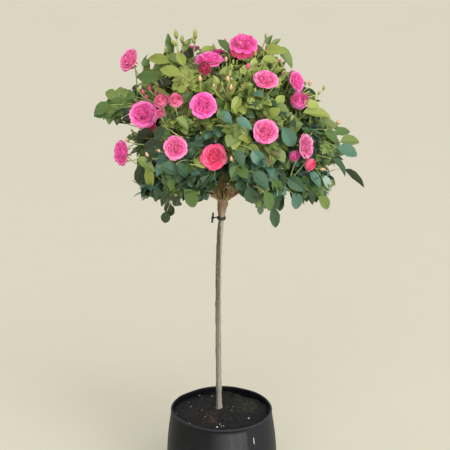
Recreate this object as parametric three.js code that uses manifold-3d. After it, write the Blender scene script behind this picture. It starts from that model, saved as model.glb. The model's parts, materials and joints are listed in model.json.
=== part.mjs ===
// A half-standard rose in a black plant pot: one bare stem, a swollen head where the rose was budded on to it,
// and a rounded crown of leafy flowering shoots. Millimetres, +Z up, origin at the centre of the pot's underside.
// The front of the plant faces -Y.
import * as THREE from "three";
import { mergeVertices } from "three/addons/utils/BufferGeometryUtils.js";
import Module from "manifold-3d";

const wasm = await Module();
wasm.setup();

// ---------------------------------------------------------------- driving dimensions

const CLEARANCE = 0.3; // between pieces that rest against each other

const POT = {
  height: 280,
  baseRadius: 129,
  bellyRadius: 158,
  bellyHeight: 120,
  rimRadius: 141,
  wall: 3,
  beadHeight: 9, // the rolled edge at the rim
  beadDepth: 2,
  footRound: 8, // radius of the rounded lower edge
  bends: 5,
  sides: 32,
  // Where the thin wall is pushed in at the rim: compass direction, half width in degrees, and depth. A depth
  // below zero is a bulge. The dents fade out towards the belly.
  dents: [
    [270, 50, 8],
    [228, 26, 6],
    [172, 22, -2.3],
    [128, 16, 2.6],
    [62, 14, 2.1],
  ],
};

const SOIL = {
  level: 262, // flat spot that the stem stands on
  moundHeight: 5, // how far the soil rises round the stem
  moundRadius: 55,
  unevenness: 2.5,
  footClear: 4, // width of the flat spot round the stem's foot
  sideGap: 1, // the soil has shrunk from the pot's wall by this much
  rings: [0.78, 0.5, 0.25], // where the surface bends, as shares of its radius
};

const STEM = {
  foot: new THREE.Vector2(-7.3, 30),
  head: new THREE.Vector2(2.4, 6),
  forkHeight: 906,
  radius: 7.2,
  flareRadius: 10.5, // root flare where it leaves the soil
  flareHeight: 26,
  headRadius: 13, // swollen bud union at the top
  headHeight: 72,
  bowX: -2.4, // the stem bows a little to the left, and turns to the right near the top
  kinkX: -1.2,
  leanFrom: 0.7, // share of the height above which it turns
  sides: 12,
  steps: 20,
};

const TIE = {
  height: 846,
  bandHeight: 8,
  bandThick: 2.4,
  neckLength: 11,
  neckThick: 4,
  knotRadius: 4.4,
  endLength: 27, // from tip to tip of the two cut ends
  endRadius: 3.2,
  slack: 1.4, // the band sits loosely, so that it clears the leaning stem at both edges
};

// Leafy crown. Each tier is a ring of foliage masses: centre height and sideways offset, ring radius, and the
// half sizes of one mass outwards, along the ring and upwards. Masses at the front sit higher by lift, and those
// at the back by half of it.
const CROWN_Y = 8;
const TIERS = [
  { name: "skirt", count: 7, turn: 180, x: 43, z: 944, ring: 184, half: [92, 90, 50], lift: 56 },
  { name: "waist", count: 7, turn: 26, x: 34, z: 1050, ring: 196, half: [96, 88, 66], lift: 8 },
  { name: "shoulder", count: 6, turn: 0, x: 4, z: 1160, ring: 172, half: [92, 88, 66], lift: 0 },
  { name: "upper", count: 5, turn: 36, x: -10, z: 1242, ring: 112, half: [90, 86, 56], lift: 0 },
  { name: "cap", count: 1, turn: 0, x: 20, z: 1258, ring: 0, half: [66, 66, 56], lift: 0 },
  { name: "heart", count: 1, turn: 0, x: 20, z: 1080, ring: 0, half: [130, 125, 120], lift: 0 },
];

// Shoots that stand out of the rounded crown: where each one leaves it, its tip, its width and its thickness.
const SPRAYS = [
  { name: "leaf_spray_left", from: [-190, -40, 1138], to: [-343, -30, 1150], width: 76, thick: 34 },
  { name: "flower_spray_left", from: [-205, -60, 1040], to: [-308, -50, 1044], width: 82, thick: 56 },
  { name: "flower_spray_upper_left", from: [-165, 10, 1236], to: [-268, 10, 1300], width: 62, thick: 52 },
  { name: "bud_spray_top_left", from: [-88, 0, 1262], to: [-120, 0, 1354], width: 46, thick: 32 },
  { name: "bud_spray_top_middle", from: [-50, 8, 1226], to: [-68, 10, 1354], width: 28, thick: 26 },
  { name: "flower_spray_top", from: [44, 0, 1270], to: [58, 0, 1360], width: 80, thick: 74 },
  { name: "bud_spray_top_right", from: [88, 20, 1272], to: [118, 22, 1344], width: 40, thick: 32 },
  { name: "bud_spray_right", from: [228, -30, 1132], to: [268, -34, 1206], width: 34, thick: 28 },
  { name: "leaf_spray_right", from: [242, -20, 1080], to: [368, -28, 1062], width: 74, thick: 40 },
  { name: "leaf_spray_low_right", from: [176, 4, 1036], to: [384, -10, 938], width: 42, thick: 30 },
  { name: "leaf_spray_bottom_right", from: [226, -50, 950], to: [312, -40, 884], width: 56, thick: 30 },
  { name: "hanging_spray_right", from: [84, -24, 965], to: [153, -12, 812], width: 54, thick: 34 },
  { name: "hanging_spray_left", from: [-108, -16, 946], to: [-158, -14, 828], width: 46, thick: 30 },
  { name: "leaf_spray_back", from: [-60, 225, 1080], to: [-95, 330, 1090], width: 80, thick: 36 },
  { name: "leaf_spray_back_right", from: [124, 136, 1036], to: [228, 278, 946], width: 66, thick: 42 },
  { name: "leaf_spray_front", from: [100, -205, 1010], to: [122, -292, 992], width: 66, thick: 34 },
];

// Canes from the head into the crown: compass direction, steepness and thickness at the head.
const HOLLOW_RADIUS = 70; // open space round the head, below the leaves
const BOUGHS = [
  { name: "bough_right", turn: -12, rise: 34, radius: 5.4 },
  { name: "bough_front_right", turn: -62, rise: 52, radius: 4.4 },
  { name: "bough_front_left", turn: -128, rise: 44, radius: 4.6 },
  { name: "bough_left", turn: -178, rise: 36, radius: 4.8 },
  { name: "bough_back_left", turn: 122, rise: 48, radius: 4.6 },
  { name: "bough_back_right", turn: 52, rise: 46, radius: 4.8 },
  { name: "bough_leader", turn: 20, rise: 84, radius: 5.6 },
];
const BOUGH = { reach: 180, taper: 0.62, sag: 9, drop: 16, sides: 7, steps: 4 };

// ---------------------------------------------------------------- shared tools

const radians = THREE.MathUtils.degToRad;

// Smooth step from 0 to 1 as x goes from low to high.
const ease = (x, low, high) => THREE.MathUtils.smoothstep(x, low, high);

function solidOf(geometry) {
  const bare = geometry.index ? geometry.toNonIndexed() : geometry.clone();
  const shell = new THREE.BufferGeometry().setAttribute("position", bare.getAttribute("position"));
  const merged = mergeVertices(shell, 1e-3);
  return new wasm.Manifold(
    new wasm.Mesh({
      numProp: 3,
      vertProperties: merged.attributes.position.array,
      triVerts: new Uint32Array(merged.index.array),
    }),
  );
}

function geometryOf(solid) {
  const { vertProperties, triVerts } = solid.getMesh();
  return new THREE.BufferGeometry()
    .setAttribute("position", new THREE.BufferAttribute(vertProperties, 3))
    .setIndex(new THREE.BufferAttribute(triVerts, 1));
}

// Moves every vertex of a geometry by a function of its place.
function reshaped(geometry, move) {
  const position = geometry.getAttribute("position");
  const point = new THREE.Vector3();
  for (let i = 0; i < position.count; i++) {
    point.fromBufferAttribute(position, i);
    move(point);
    position.setXYZ(i, point.x, point.y, point.z);
  }
  return geometry;
}

// A closed limb: a unit cylinder laid along a curve, with its own radius at each share t of the length. Its
// cross sections stand square to the curve, or level if it is upright.
function limb(curve, radiusAt, sides, steps, upright = false) {
  const rod = new THREE.CylinderGeometry(1, 1, 1, sides, steps);
  const { normals, binormals } = curve.computeFrenetFrames(steps);
  return reshaped(rod, (p) => {
    const step = Math.round((p.y + 0.5) * steps);
    const t = step / steps;
    const radius = radiusAt(t);
    const across = upright ? new THREE.Vector3(1, 0, 0) : normals[step].clone();
    const along = upright ? new THREE.Vector3(0, 1, 0) : binormals[step].clone();
    const centre = curve.getPointAt(t);
    p.copy(centre.addScaledVector(across, p.z * radius).addScaledVector(along, p.x * radius));
  });
}

// A solid of revolution about +Z from (radius, height) pairs that start and end on the axis.
function turned(profile, sides) {
  const points = profile.map(([radius, height]) => new THREE.Vector2(radius, height));
  return new THREE.LatheGeometry(points, sides).rotateX(Math.PI / 2);
}

// ---------------------------------------------------------------- pot and soil

// Outer radius of the pot at a height: a barrel curve from the base over the belly to the rim.
function potRadius(height) {
  const { baseRadius, bellyRadius, bellyHeight, rimRadius } = POT;
  const below = height < bellyHeight;
  const share = below ? 1 - height / bellyHeight : (height - bellyHeight) / (POT.height - bellyHeight);
  return bellyRadius - (bellyRadius - (below ? baseRadius : rimRadius)) * share ** 1.9;
}

// The wall is straight between a few heights. Both the pot and the soil inside it bend at these.
const BENDS = Array.from({ length: POT.bends + 1 }, (_, i) => (POT.height * i) / POT.bends);

// The value of a function of height, made straight between the bends.
function betweenBends(valueAt, z) {
  const above = Math.max(1, BENDS.findIndex((bend) => bend >= z));
  const share = (z - BENDS[above - 1]) / (BENDS[above] - BENDS[above - 1]);
  return THREE.MathUtils.lerp(valueAt(BENDS[above - 1]), valueAt(BENDS[above]), share);
}

function wallLine(low, high, inset) {
  const heights = [low, ...BENDS.filter((z) => z > low + 2 && z < high - 2), high];
  return heights.map((z) => [betweenBends(potRadius, z) - inset, z]);
}

// Pushes a point of the pot or of the soil inwards by the dents of the rim.
function dent(p) {
  const away = Math.hypot(p.x, p.y);
  const angle = THREE.MathUtils.radToDeg(Math.atan2(p.y, p.x));
  const rising = (z) => ease(z, POT.bellyHeight, POT.height);
  const share = betweenBends(rising, p.z) * ease(away, 0, POT.rimRadius - POT.wall);
  for (const [direction, halfWidth, depth] of POT.dents) {
    const off = THREE.MathUtils.euclideanModulo(angle - direction + 180, 360) - 180;
    const inwards = depth * share * Math.exp(-((off / halfWidth) ** 2));
    if (away > 0) p.addScaledVector(new THREE.Vector3(p.x / away, p.y / away, 0), -inwards);
  }
}

function makePot() {
  const { height, wall, beadHeight, beadDepth, footRound, sides } = POT;
  const outside = wallLine(footRound, height - beadHeight, 0);
  const inside = wallLine(wall, height, wall).reverse();
  const foot = outside[0][0];
  const bead = potRadius(height) + beadDepth;
  const shell = turned(
    [
      [0, 0],
      [foot - footRound, 0],
      [foot - footRound * 0.3, footRound * 0.3],
      ...outside,
      [bead, height - beadHeight + beadDepth],
      [bead, height - beadDepth],
      [bead - beadDepth, height],
      ...inside,
      [0, wall],
    ],
    sides,
  );
  return reshaped(shell, dent);
}

// Height of the soil's surface above its level: a low mound round the stem, falling into slight dips.
function soilRise(x, y) {
  const away = Math.hypot(x - STEM.foot.x, y - STEM.foot.y);
  const mound = SOIL.moundHeight * (1 - ease(away, 0, SOIL.moundRadius));
  const dips = Math.sin(x / 17 + 1) * Math.cos(y / 21) + Math.sin((x - y) / 31);
  return mound + (SOIL.unevenness / 2) * (dips - 1) * ease(away, 0, SOIL.moundRadius);
}

function makeSoil() {
  const side = wallLine(POT.wall + CLEARANCE, SOIL.level, POT.wall + SOIL.sideGap);
  const edge = side[side.length - 1][0];
  const surface = SOIL.rings.map((share) => [edge * share, SOIL.level]);
  const body = turned([[0, POT.wall + CLEARANCE], ...side, ...surface, [0, SOIL.level]], POT.sides);
  const uneven = reshaped(body, (p) => {
    const onTop = p.z > SOIL.level - 0.01 && Math.hypot(p.x, p.y) < edge * 0.95;
    dent(p);
    if (onTop) p.z += soilRise(p.x, p.y);
  });
  const spotRadius = STEM.flareRadius + SOIL.footClear;
  const spot = new THREE.CylinderGeometry(spotRadius, spotRadius, 40, 12).rotateX(Math.PI / 2);
  spot.translate(STEM.foot.x, STEM.foot.y, SOIL.level + 20);
  return geometryOf(solidOf(uneven).subtract(solidOf(spot)));
}

// ---------------------------------------------------------------- stem and tie

// The stem's middle line, with its lean from foot to head, its bow and the kink below the head.
class StemLine extends THREE.Curve {
  getPoint(t, target = new THREE.Vector3()) {
    const bow = STEM.bowX * Math.sin(Math.PI * Math.min(1, t * 1.25));
    const kink = STEM.kinkX * Math.sin(Math.PI * ease(t, STEM.leanFrom, 1));
    const x = THREE.MathUtils.lerp(STEM.foot.x, STEM.head.x, ease(t, STEM.leanFrom, 1));
    const y = THREE.MathUtils.lerp(STEM.foot.y, STEM.head.y, t);
    const base = SOIL.level + CLEARANCE;
    return target.set(x + bow + kink, y, THREE.MathUtils.lerp(base, STEM.forkHeight, t));
  }
}
const stemLine = new StemLine();

function stemRadius(t) {
  const above = t * (STEM.forkHeight - SOIL.level);
  const below = (1 - t) * (STEM.forkHeight - SOIL.level);
  const flare = (STEM.flareRadius - STEM.radius) * Math.exp(-above / (STEM.flareHeight / 2));
  const swell = (STEM.headRadius - STEM.radius) * (1 - ease(below, 14, STEM.headHeight));
  const dome = below < 14 ? Math.sqrt(0.35 + (0.65 * below) / 14) : 1;
  return (STEM.radius + flare + swell) * dome;
}

// Steps gather at the foot and the head, where the outline changes most.
const stemShare = (t) => t - 0.1 * Math.sin(2 * Math.PI * t);

class StemSteps extends THREE.Curve {
  getPoint(t, target) {
    return stemLine.getPoint(stemShare(t), target);
  }
  getPointAt(t, target) {
    return this.getPoint(t, target);
  }
  getTangentAt(t, target) {
    return this.getTangent(t, target);
  }
}

const makeStem = (extra = 0) =>
  limb(new StemSteps(), (t) => stemRadius(stemShare(t)) + extra, STEM.sides, STEM.steps, true);

// A soft tie: a band round the stem, twisted once beside it and cut off above and below the twist.
function makeTie() {
  const t = (TIE.height - SOIL.level) / (STEM.forkHeight - SOIL.level);
  const centre = stemLine.getPoint(t);
  const inner = stemRadius(t) + TIE.slack;
  const outer = inner + TIE.bandThick;
  const half = TIE.bandHeight / 2;
  const round = 1;
  const band = turned(
    [
      [inner, -half],
      [outer, -half + round],
      [outer, half - round],
      [inner, half],
      [inner, -half],
    ],
    16,
  );
  const knotX = -(outer + TIE.neckLength);
  const neckStart = -(inner + TIE.bandThick / 2);
  const neck = new THREE.CylinderGeometry(TIE.neckThick / 2, TIE.neckThick / 2, neckStart - knotX, 8);
  neck.rotateZ(Math.PI / 2).translate((neckStart + knotX) / 2, 0, 0);
  const knot = new THREE.SphereGeometry(TIE.knotRadius, 8, 6).translate(knotX, 0, 0);
  const end = (side) =>
    new THREE.CylinderGeometry(TIE.endRadius * 0.7, TIE.endRadius, TIE.endLength / 2, 8)
      .translate(0, TIE.endLength / 4, 0)
      .rotateX((side * Math.PI) / 2)
      .rotateY(0.12)
      .translate(knotX, 0, 0);
  const whole = [neck, knot, end(1), end(-1)].reduce(
    (sum, piece) => sum.add(solidOf(piece)),
    solidOf(band),
  );
  return geometryOf(whole.translate(centre.toArray()));
}

// ---------------------------------------------------------------- foliage

// A mass is an ellipsoid with its own frame. Its surface is made uneven by a few waves, which differ from mass
// to mass by their phase.
const masses = [];

function addMass(name, centre, axes, half, detail) {
  masses.push({ name, centre, axes, half, detail, phase: masses.length * 1.7 });
}

for (const tier of TIERS)
  for (let i = 0; i < tier.count; i++) {
    const angle = radians(tier.turn + (360 * i) / tier.count);
    const outward = new THREE.Vector3(Math.cos(angle), Math.sin(angle), 0);
    const alongRing = new THREE.Vector3(-Math.sin(angle), Math.cos(angle), 0);
    const up = new THREE.Vector3(0, 0, 1);
    const wave = Math.sin(i * 2.4 + tier.z);
    const lift = tier.lift * (outward.y < 0 ? -outward.y : outward.y / 2);
    const centre = new THREE.Vector3(tier.x, CROWN_Y, tier.z)
      .addScaledVector(outward, tier.ring + 7 * wave)
      .addScaledVector(up, lift + 6 * Math.cos(i * 1.9));
    const half = tier.half.map((size, k) => size * (1 + 0.05 * Math.sin(i * 3.1 + k * 2 + tier.z)));
    const name = tier.count > 1 ? `foliage_${tier.name}_${i + 1}` : `foliage_${tier.name}`;
    addMass(name, centre, [outward, alongRing, up], half, 1);
  }

for (const spray of SPRAYS) {
  const from = new THREE.Vector3(...spray.from);
  const to = new THREE.Vector3(...spray.to);
  const along = to.clone().sub(from);
  const length = along.length();
  along.normalize();
  const steep = Math.abs(along.z) > 0.8;
  const across = steep ? new THREE.Vector3(1, 0, 0) : new THREE.Vector3(0, 0, 1);
  across.addScaledVector(along, -across.dot(along)).normalize();
  const through = along.clone().cross(across);
  const half = [length / 2, spray.width / 2, spray.thick / 2];
  addMass(spray.name, from.lerp(to, 0.5), [along, across, through], half, 1);
}

// Distance from a mass's centre to its surface along a direction, without the waves.
function reachOf(mass, direction) {
  const shares = mass.axes.map((axis, k) => axis.dot(direction) / mass.half[k]);
  return 1 / Math.hypot(...shares);
}

function unevenness(mass, p) {
  const { phase } = mass;
  const broad = Math.sin(2.6 * p.x + phase) * Math.cos(2.2 * p.y - phase);
  const fine = Math.sin(5.1 * p.z + 2 * phase) * Math.sin(4.3 * p.x - 3.7 * p.y + phase);
  return 1 + 0.07 * broad + 0.06 * fine;
}

function roundMass(mass, slack) {
  const frame = new THREE.Matrix4().makeBasis(...mass.axes).setPosition(mass.centre);
  const ball = new THREE.IcosahedronGeometry(1, mass.detail);
  return reshaped(ball, (p) => {
    p.multiplyScalar(unevenness(mass, p));
    p.multiply(new THREE.Vector3(...mass.half).addScalar(slack)).applyMatrix4(frame);
  });
}

// A great block whose near face is the border between two masses, pulled back by the given gap from the border.
const BLOCK = 1200;
function beyondBorder(mass, neighbour, gap) {
  const direction = neighbour.centre.clone().sub(mass.centre);
  const distance = direction.length();
  direction.normalize();
  const own = reachOf(mass, direction);
  const other = reachOf(neighbour, direction);
  if (own + other < distance * 0.82) return null;
  const border = (distance * own) / (own + other) - gap;
  const turn = new THREE.Quaternion().setFromUnitVectors(new THREE.Vector3(0, 0, 1), direction);
  const middle = mass.centre.clone().addScaledVector(direction, border + BLOCK / 2);
  const frame = new THREE.Matrix4().compose(middle, turn, new THREE.Vector3(1, 1, 1));
  return solidOf(new THREE.BoxGeometry(BLOCK, BLOCK, BLOCK).applyMatrix4(frame));
}

// The open space round the head: a ball with the way down along the stem.
function hollow(extra) {
  const head = stemLine.getPoint(1);
  const radius = HOLLOW_RADIUS - extra;
  const ball = new THREE.SphereGeometry(radius, 12, 8).translate(head.x, head.y, head.z);
  const way = new THREE.CylinderGeometry(radius, radius, 200, 12).rotateX(Math.PI / 2);
  way.translate(head.x, head.y, head.z - 100);
  return solidOf(ball).add(solidOf(way));
}

// One mass, cut back from its neighbours and from the hollow. With slack 0 it is the finished piece. A larger
// slack gives the same piece grown by that much where other pieces rest against it.
function cutMass(mass, slack) {
  const blocks = masses
    .filter((other) => other !== mass)
    .map((other) => beyondBorder(mass, other, CLEARANCE - slack))
    .filter(Boolean);
  const whole = blocks.reduce((left, block) => left.subtract(block), solidOf(roundMass(mass, slack)));
  return whole.subtract(hollow(slack)).simplify(CLEARANCE / 3);
}

// ---------------------------------------------------------------- boughs

// A cane leaves the head steeply outwards and arches a little under the weight it carries.
function caneLine(bough) {
  const turn = radians(bough.turn);
  const rise = radians(bough.rise);
  const flat = new THREE.Vector3(Math.cos(turn), Math.sin(turn), 0);
  const start = stemLine.getPoint(1).add(new THREE.Vector3(0, 0, -BOUGH.drop));
  const out = flat.multiplyScalar(Math.cos(rise)).add(new THREE.Vector3(0, 0, Math.sin(rise)));
  const tip = start.clone().addScaledVector(out, BOUGH.reach);
  const middle = start.clone().lerp(tip, 0.5).add(new THREE.Vector3(0, 0, BOUGH.sag));
  return new THREE.QuadraticBezierCurve3(start, middle, tip);
}

function cane(bough, extra) {
  const radiusAt = (t) => bough.radius * (1 - (1 - BOUGH.taper) * t) + extra;
  return solidOf(limb(caneLine(bough), radiusAt, BOUGH.sides, BOUGH.steps));
}

// The part of a cane between the head and the first leaves, cut back from everything that it rests against.
function boughSolid(bough, around) {
  const head = stemLine.getPoint(1);
  const pieces = around.reduce((left, solid) => left.subtract(solid), cane(bough, 0)).decompose();
  const near = pieces.filter((piece) => {
    const { min, max } = piece.boundingBox();
    const box = new THREE.Box3(new THREE.Vector3(...min), new THREE.Vector3(...max));
    return box.distanceToPoint(head) < BOUGH.drop + 2 * STEM.headRadius;
  });
  return near.sort((a, b) => b.volume() - a.volume())[0];
}

// ---------------------------------------------------------------- assembly

const finish = (color, roughness) => new THREE.MeshStandardMaterial({ color, roughness, metalness: 0 });
const blackPlastic = finish(0x26272b, 0.55);
const darkSoil = finish(0x2a2320, 0.95);
const bark = finish(0x7c705c, 0.8);
const youngBark = finish(0x7d7a44, 0.6);
const leaves = finish(0x48683a, 0.6);
const flowers = finish(0xe64b93, 0.6);

const rose = new THREE.Group();
rose.name = "standard_rose";

function add(name, geometry, material) {
  const mesh = new THREE.Mesh(geometry, material);
  mesh.name = name;
  rose.add(mesh);
}

add("pot", makePot(), blackPlastic);
add("potting_soil", makeSoil(), darkSoil);
add("stem", makeStem(), bark);
add("stem_tie", makeTie(), blackPlastic);

for (const mass of masses)
  add(mass.name, geometryOf(cutMass(mass, 0)), mass.name.startsWith("flower") ? flowers : leaves);

// The stem's own outline grown by the clearance, so that a cane rests against the head.
const grownStem = solidOf(makeStem(CLEARANCE).translate(0, 0, CLEARANCE));
const around = [grownStem, ...masses.map((mass) => cutMass(mass, CLEARANCE))];
for (const bough of BOUGHS) {
  add(bough.name, geometryOf(boughSolid(bough, around)), youngBark);
  around.push(cane(bough, CLEARANCE));
}

export default rose;
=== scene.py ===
"""Makes the visual model of a potted half-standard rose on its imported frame: pot, soil, stem, canes, leaves,
flowers and buds, with a plain stage. Lengths are in metres unless a comment says millimetres."""

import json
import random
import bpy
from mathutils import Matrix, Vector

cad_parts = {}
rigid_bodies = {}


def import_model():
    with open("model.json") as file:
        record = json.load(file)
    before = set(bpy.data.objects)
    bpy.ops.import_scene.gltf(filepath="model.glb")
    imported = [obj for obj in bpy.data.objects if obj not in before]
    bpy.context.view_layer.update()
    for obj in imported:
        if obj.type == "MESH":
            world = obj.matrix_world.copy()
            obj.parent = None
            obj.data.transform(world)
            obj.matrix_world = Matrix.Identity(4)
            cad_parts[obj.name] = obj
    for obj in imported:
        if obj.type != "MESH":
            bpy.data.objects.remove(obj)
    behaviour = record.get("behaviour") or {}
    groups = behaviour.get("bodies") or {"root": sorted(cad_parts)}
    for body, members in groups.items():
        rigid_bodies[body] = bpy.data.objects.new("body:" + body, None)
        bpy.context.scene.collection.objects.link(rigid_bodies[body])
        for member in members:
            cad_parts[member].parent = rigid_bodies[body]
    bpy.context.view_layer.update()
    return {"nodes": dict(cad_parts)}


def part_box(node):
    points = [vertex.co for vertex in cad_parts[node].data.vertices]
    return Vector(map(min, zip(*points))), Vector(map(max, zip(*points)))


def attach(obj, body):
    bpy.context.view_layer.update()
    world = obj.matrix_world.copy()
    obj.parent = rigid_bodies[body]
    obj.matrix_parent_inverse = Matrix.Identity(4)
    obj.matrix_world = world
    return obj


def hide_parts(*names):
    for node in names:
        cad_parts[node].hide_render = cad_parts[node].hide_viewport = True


bl_info = {
    "name": "Potted Standard Rose",
    "version": (1, 0, 0),
    "blender": (4, 5, 0),
    "location": "View3D > Sidebar > Rose",
    "description": "A half-standard rose in flower, with its pot, soil and a plain stage",
    "category": "Add Mesh",
}

from functools import lru_cache
from math import cos, degrees, exp, hypot, inf, pi, radians, sin, sqrt

import bmesh
import bpy
import numpy as np
from bpy.props import FloatProperty, FloatVectorProperty, IntProperty, PointerProperty
from bpy.types import NodeSocket, Operator, Panel, PropertyGroup
from mathutils import Euler, Matrix, Vector, kdtree, noise
from mathutils.bvhtree import BVHTree

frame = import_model()
MM = 0.001
ROOT = "root"
UP = Vector((0, 0, 1))
FOLIAGE_NODES = [name for name in frame["nodes"] if "foliage" in name or "spray" in name]
FLOWER_NODES = [name for name in FOLIAGE_NODES if name.startswith("flower")]
LEAF_NODES = [name for name in FOLIAGE_NODES if name not in FLOWER_NODES]
BOUGH_NODES = [name for name in frame["nodes"] if name.startswith("bough")]


# ---- colours


def srgb(code):
    """A web colour such as "8a6f4d" as linear red, green and blue."""
    parts = [int(code[i : i + 2], 16) / 255 for i in (0, 2, 4)]
    return tuple(p / 12.92 if p <= 0.04045 else ((p + 0.055) / 1.055) ** 2.4 for p in parts)


# upper side and underside of each kind of leaf
LEAF_TINTS = {
    "deep": ("2f462b", "586c4e"),
    "blue": ("3f5d43", "6a8062"),
    # teal: blue-green leaves, partly a painted sheen of sky reflection
    "teal": ("547b68", "7c9884"),
    "mid": ("557038", "7d9058"),
    "olive": ("718443", "909c64"),
    "yellow": ("8f9c4a", "a8b06c"),
    "light": ("a0ad5a", "b3bc7c"),
    "dusky": ("38422c", "5c664a"),
    "ruddy": ("64603c", "7c7450"),
    # silver: grey-green leaves, partly a painted sheen of sky reflection
    "silver": ("9db0a6", "b4c0b6"),
}
# painted shade in the folds at the petals' bases, inner side, outer side and edge of the petals of each kind
# of flower
PETAL_TINTS = {
    "magenta": ("cf2f8c", "f560b6", "f67ac0", "f98ccb"),
    "pink": ("d84488", "f470ae", "f68cbc", "f99cca"),
    # the next two are lightened copies of magenta and pink: painted light for flowers that lie in shade
    "vivid": ("dc3c98", "ff6ec2", "ff8ace", "ff9ad4"),
    "blush": ("de5c94", "ff84b6", "ff96be", "ffa8c8"),
    "coral": ("d02c5c", "fa568a", "fa769a", "fb84ae"),
    "crimson": ("c01e48", "e83078", "d82c58", "ea4c8c"),
    "faded": ("b84684", "e674ac", "ec92bc", "f0a4c8"),
    "crest": ("d63c90", "f560b6", "f2527e", "fa78b4"),
}
# sepals and petals of each kind of bud
BUD_TINTS = {
    "green": ("7b8d44", "a9ad62"),
    "peach": ("93984e", "f0bd9e"),
    "pink": ("8c8f4c", "e8628f"),
}
CANE_TINTS = {
    "green": "76843f",
    "lime": "bac67a",
    "ruddy": "8c5a44",
    "woody": "8c7048",
    "coral": "bf7d66",
    "straw": "a39a60",
}


# ---- settings


def setting(kind, name, description, default, **more):
    return kind(name=name, description=description, default=default, **more)


def length(*facts):
    return setting(FloatProperty, *facts, min=0.0, unit="LENGTH", precision=4)


def share(*facts):
    return setting(FloatProperty, *facts, min=0.0, max=1.0, subtype="FACTOR")


def count(*facts):
    return setting(IntProperty, *facts, min=0)


def tint(name, description, code):
    size = {"size": 3, "min": 0.0, "max": 1.0}
    return setting(FloatVectorProperty, name, description, srgb(code), subtype="COLOR", **size)


class RoseStageSettings(PropertyGroup):
    distance: length("Distance", "How far the camera stands in front of the stem", 2.83)
    height: length("Height", "Height of the camera over the floor", 1.734)
    aside: length("Aside", "How far the camera stands to the right of the pot's axis", 0.0093)
    pitch: setting(FloatProperty, "Pitch", "How far the camera looks down", radians(17.75), subtype="ANGLE")
    lens: setting(FloatProperty, "Lens", "Focal length in mm", 88.0, unit="CAMERA")
    floor: tint("Floor", "Colour of the floor", "e0dac4")
    key: setting(FloatProperty, "Key", "Strength of the soft daylight from above", 1.95, min=0.0)
    fill: setting(FloatProperty, "Fill", "Power of the low lamp", 75.0, unit="POWER")
    sky: share("Sky", "Brightness of the light from all round", 0.62)


class RosePotSettings(PropertyGroup):
    height: length("Height", "Height of the pot", 0.280)
    base: length("Base", "Outer radius at the foot", 0.129)
    belly: length("Belly", "Outer radius at the widest place", 0.158)
    belly_height: length("Belly Height", "Height of the widest place", 0.120)
    rim: length("Rim", "Outer radius under the rolled edge", 0.141)
    wall: length("Wall", "Thickness of the wall", 0.003)
    bead: length("Bead", "Radius of the rolled edge", 0.0034)
    dents: share("Dents", "How dented the rim is", 1.0)
    colour: tint("Colour", "Colour of the plastic", "08090b")
    # painted sheen: a lighter band down the front of the pot that stands in for a reflection
    painted_sheen: tint("Painted Sheen", "Colour of the painted sheen band down the front", "5c5c61")


class RoseSoilSettings(PropertyGroup):
    crumbs: count("Crumbs", "Loose crumbs on the soil", 1500)
    perlite: count("Perlite", "White grains on the soil", 16)
    litter: count("Litter", "Bits of bark and dead leaf on the soil", 46)
    colour: tint("Colour", "Colour of the moist soil", "0c0b0b")


class RoseStemSettings(PropertyGroup):
    grain: length("Grain", "Size of the mesh cells of the bark", 0.0011)
    relief: length("Relief", "Depth of the furrows in the bark", 0.0007)
    spare: length("Spare", "Added to the stem's radius before the bark is smoothed", 0.0006)
    bark: tint("Bark", "Colour of the weathered bark", "b0a994")
    # painted shade down the stem's left side
    painted_shade_bark: tint("Painted Shade", "Colour of the shaded side", "423e2e")


class RoseCrownSettings(PropertyGroup):
    seed: count("Seed", "Start of the random numbers that shape the crown", 14)
    spacing: length("Spacing", "Space that each shoot tip keeps for itself", 0.032)
    step: length("Step", "Length of one step of growth", 0.014)
    reach: length("Reach", "How far a shoot senses free space", 0.15)
    leaf: length("Leaf", "Length of a full compound leaf", 0.118)
    shoot: length("Shoot", "Radius of a shoot's tip", 0.0011)
    young_shoots: count("Young Shoots", "Thin shoots that show between the leaves", 260)
    head_twigs: count("Head Twigs", "Short twigs that crowd the stem's head", 120)
    leaf_gap: length("Leaf Gap", "Distance between leaves on a shoot", 0.0085)


class RoseFlowerSettings(PropertyGroup):
    size: share("Size", "Size of all flowers", 0.94)
    back: count("Back Flowers", "Open flowers on the sides and the back", 24)
    back_buds: count("Back Buds", "Buds on the sides and the back", 34)


class RoseSettings(PropertyGroup):
    stage: PointerProperty(type=RoseStageSettings)
    pot: PointerProperty(type=RosePotSettings)
    soil: PointerProperty(type=RoseSoilSettings)
    stem: PointerProperty(type=RoseStemSettings)
    crown: PointerProperty(type=RoseCrownSettings)
    flower: PointerProperty(type=RoseFlowerSettings)


# ---- meshes


def new_object(name, mesh):
    obj = bpy.data.objects.new(name, mesh)
    bpy.context.scene.collection.objects.link(obj)
    return obj


def closed_object(name, points, faces, material):
    """A smooth closed piece, with doubles joined and all faces turned outwards."""
    mesh = bpy.data.meshes.new(name)
    mesh.from_pydata([tuple(p) for p in points], [], faces)
    mesh.shade_smooth()
    bm = bmesh.new()
    bm.from_mesh(mesh)
    bmesh.ops.remove_doubles(bm, verts=bm.verts, dist=1e-6)
    bmesh.ops.recalc_face_normals(bm, faces=bm.faces)
    bm.to_mesh(mesh)
    bm.free()
    mesh.update()
    mesh.materials.append(material)
    return new_object(name, mesh)


def keep(obj, slot, *nodes):
    """Joins a finished piece to the plant and hides the frame's nodes that it stands for. The slot is not
    used.
    """
    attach(obj, ROOT)
    if nodes:
        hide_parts(*nodes)


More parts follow.
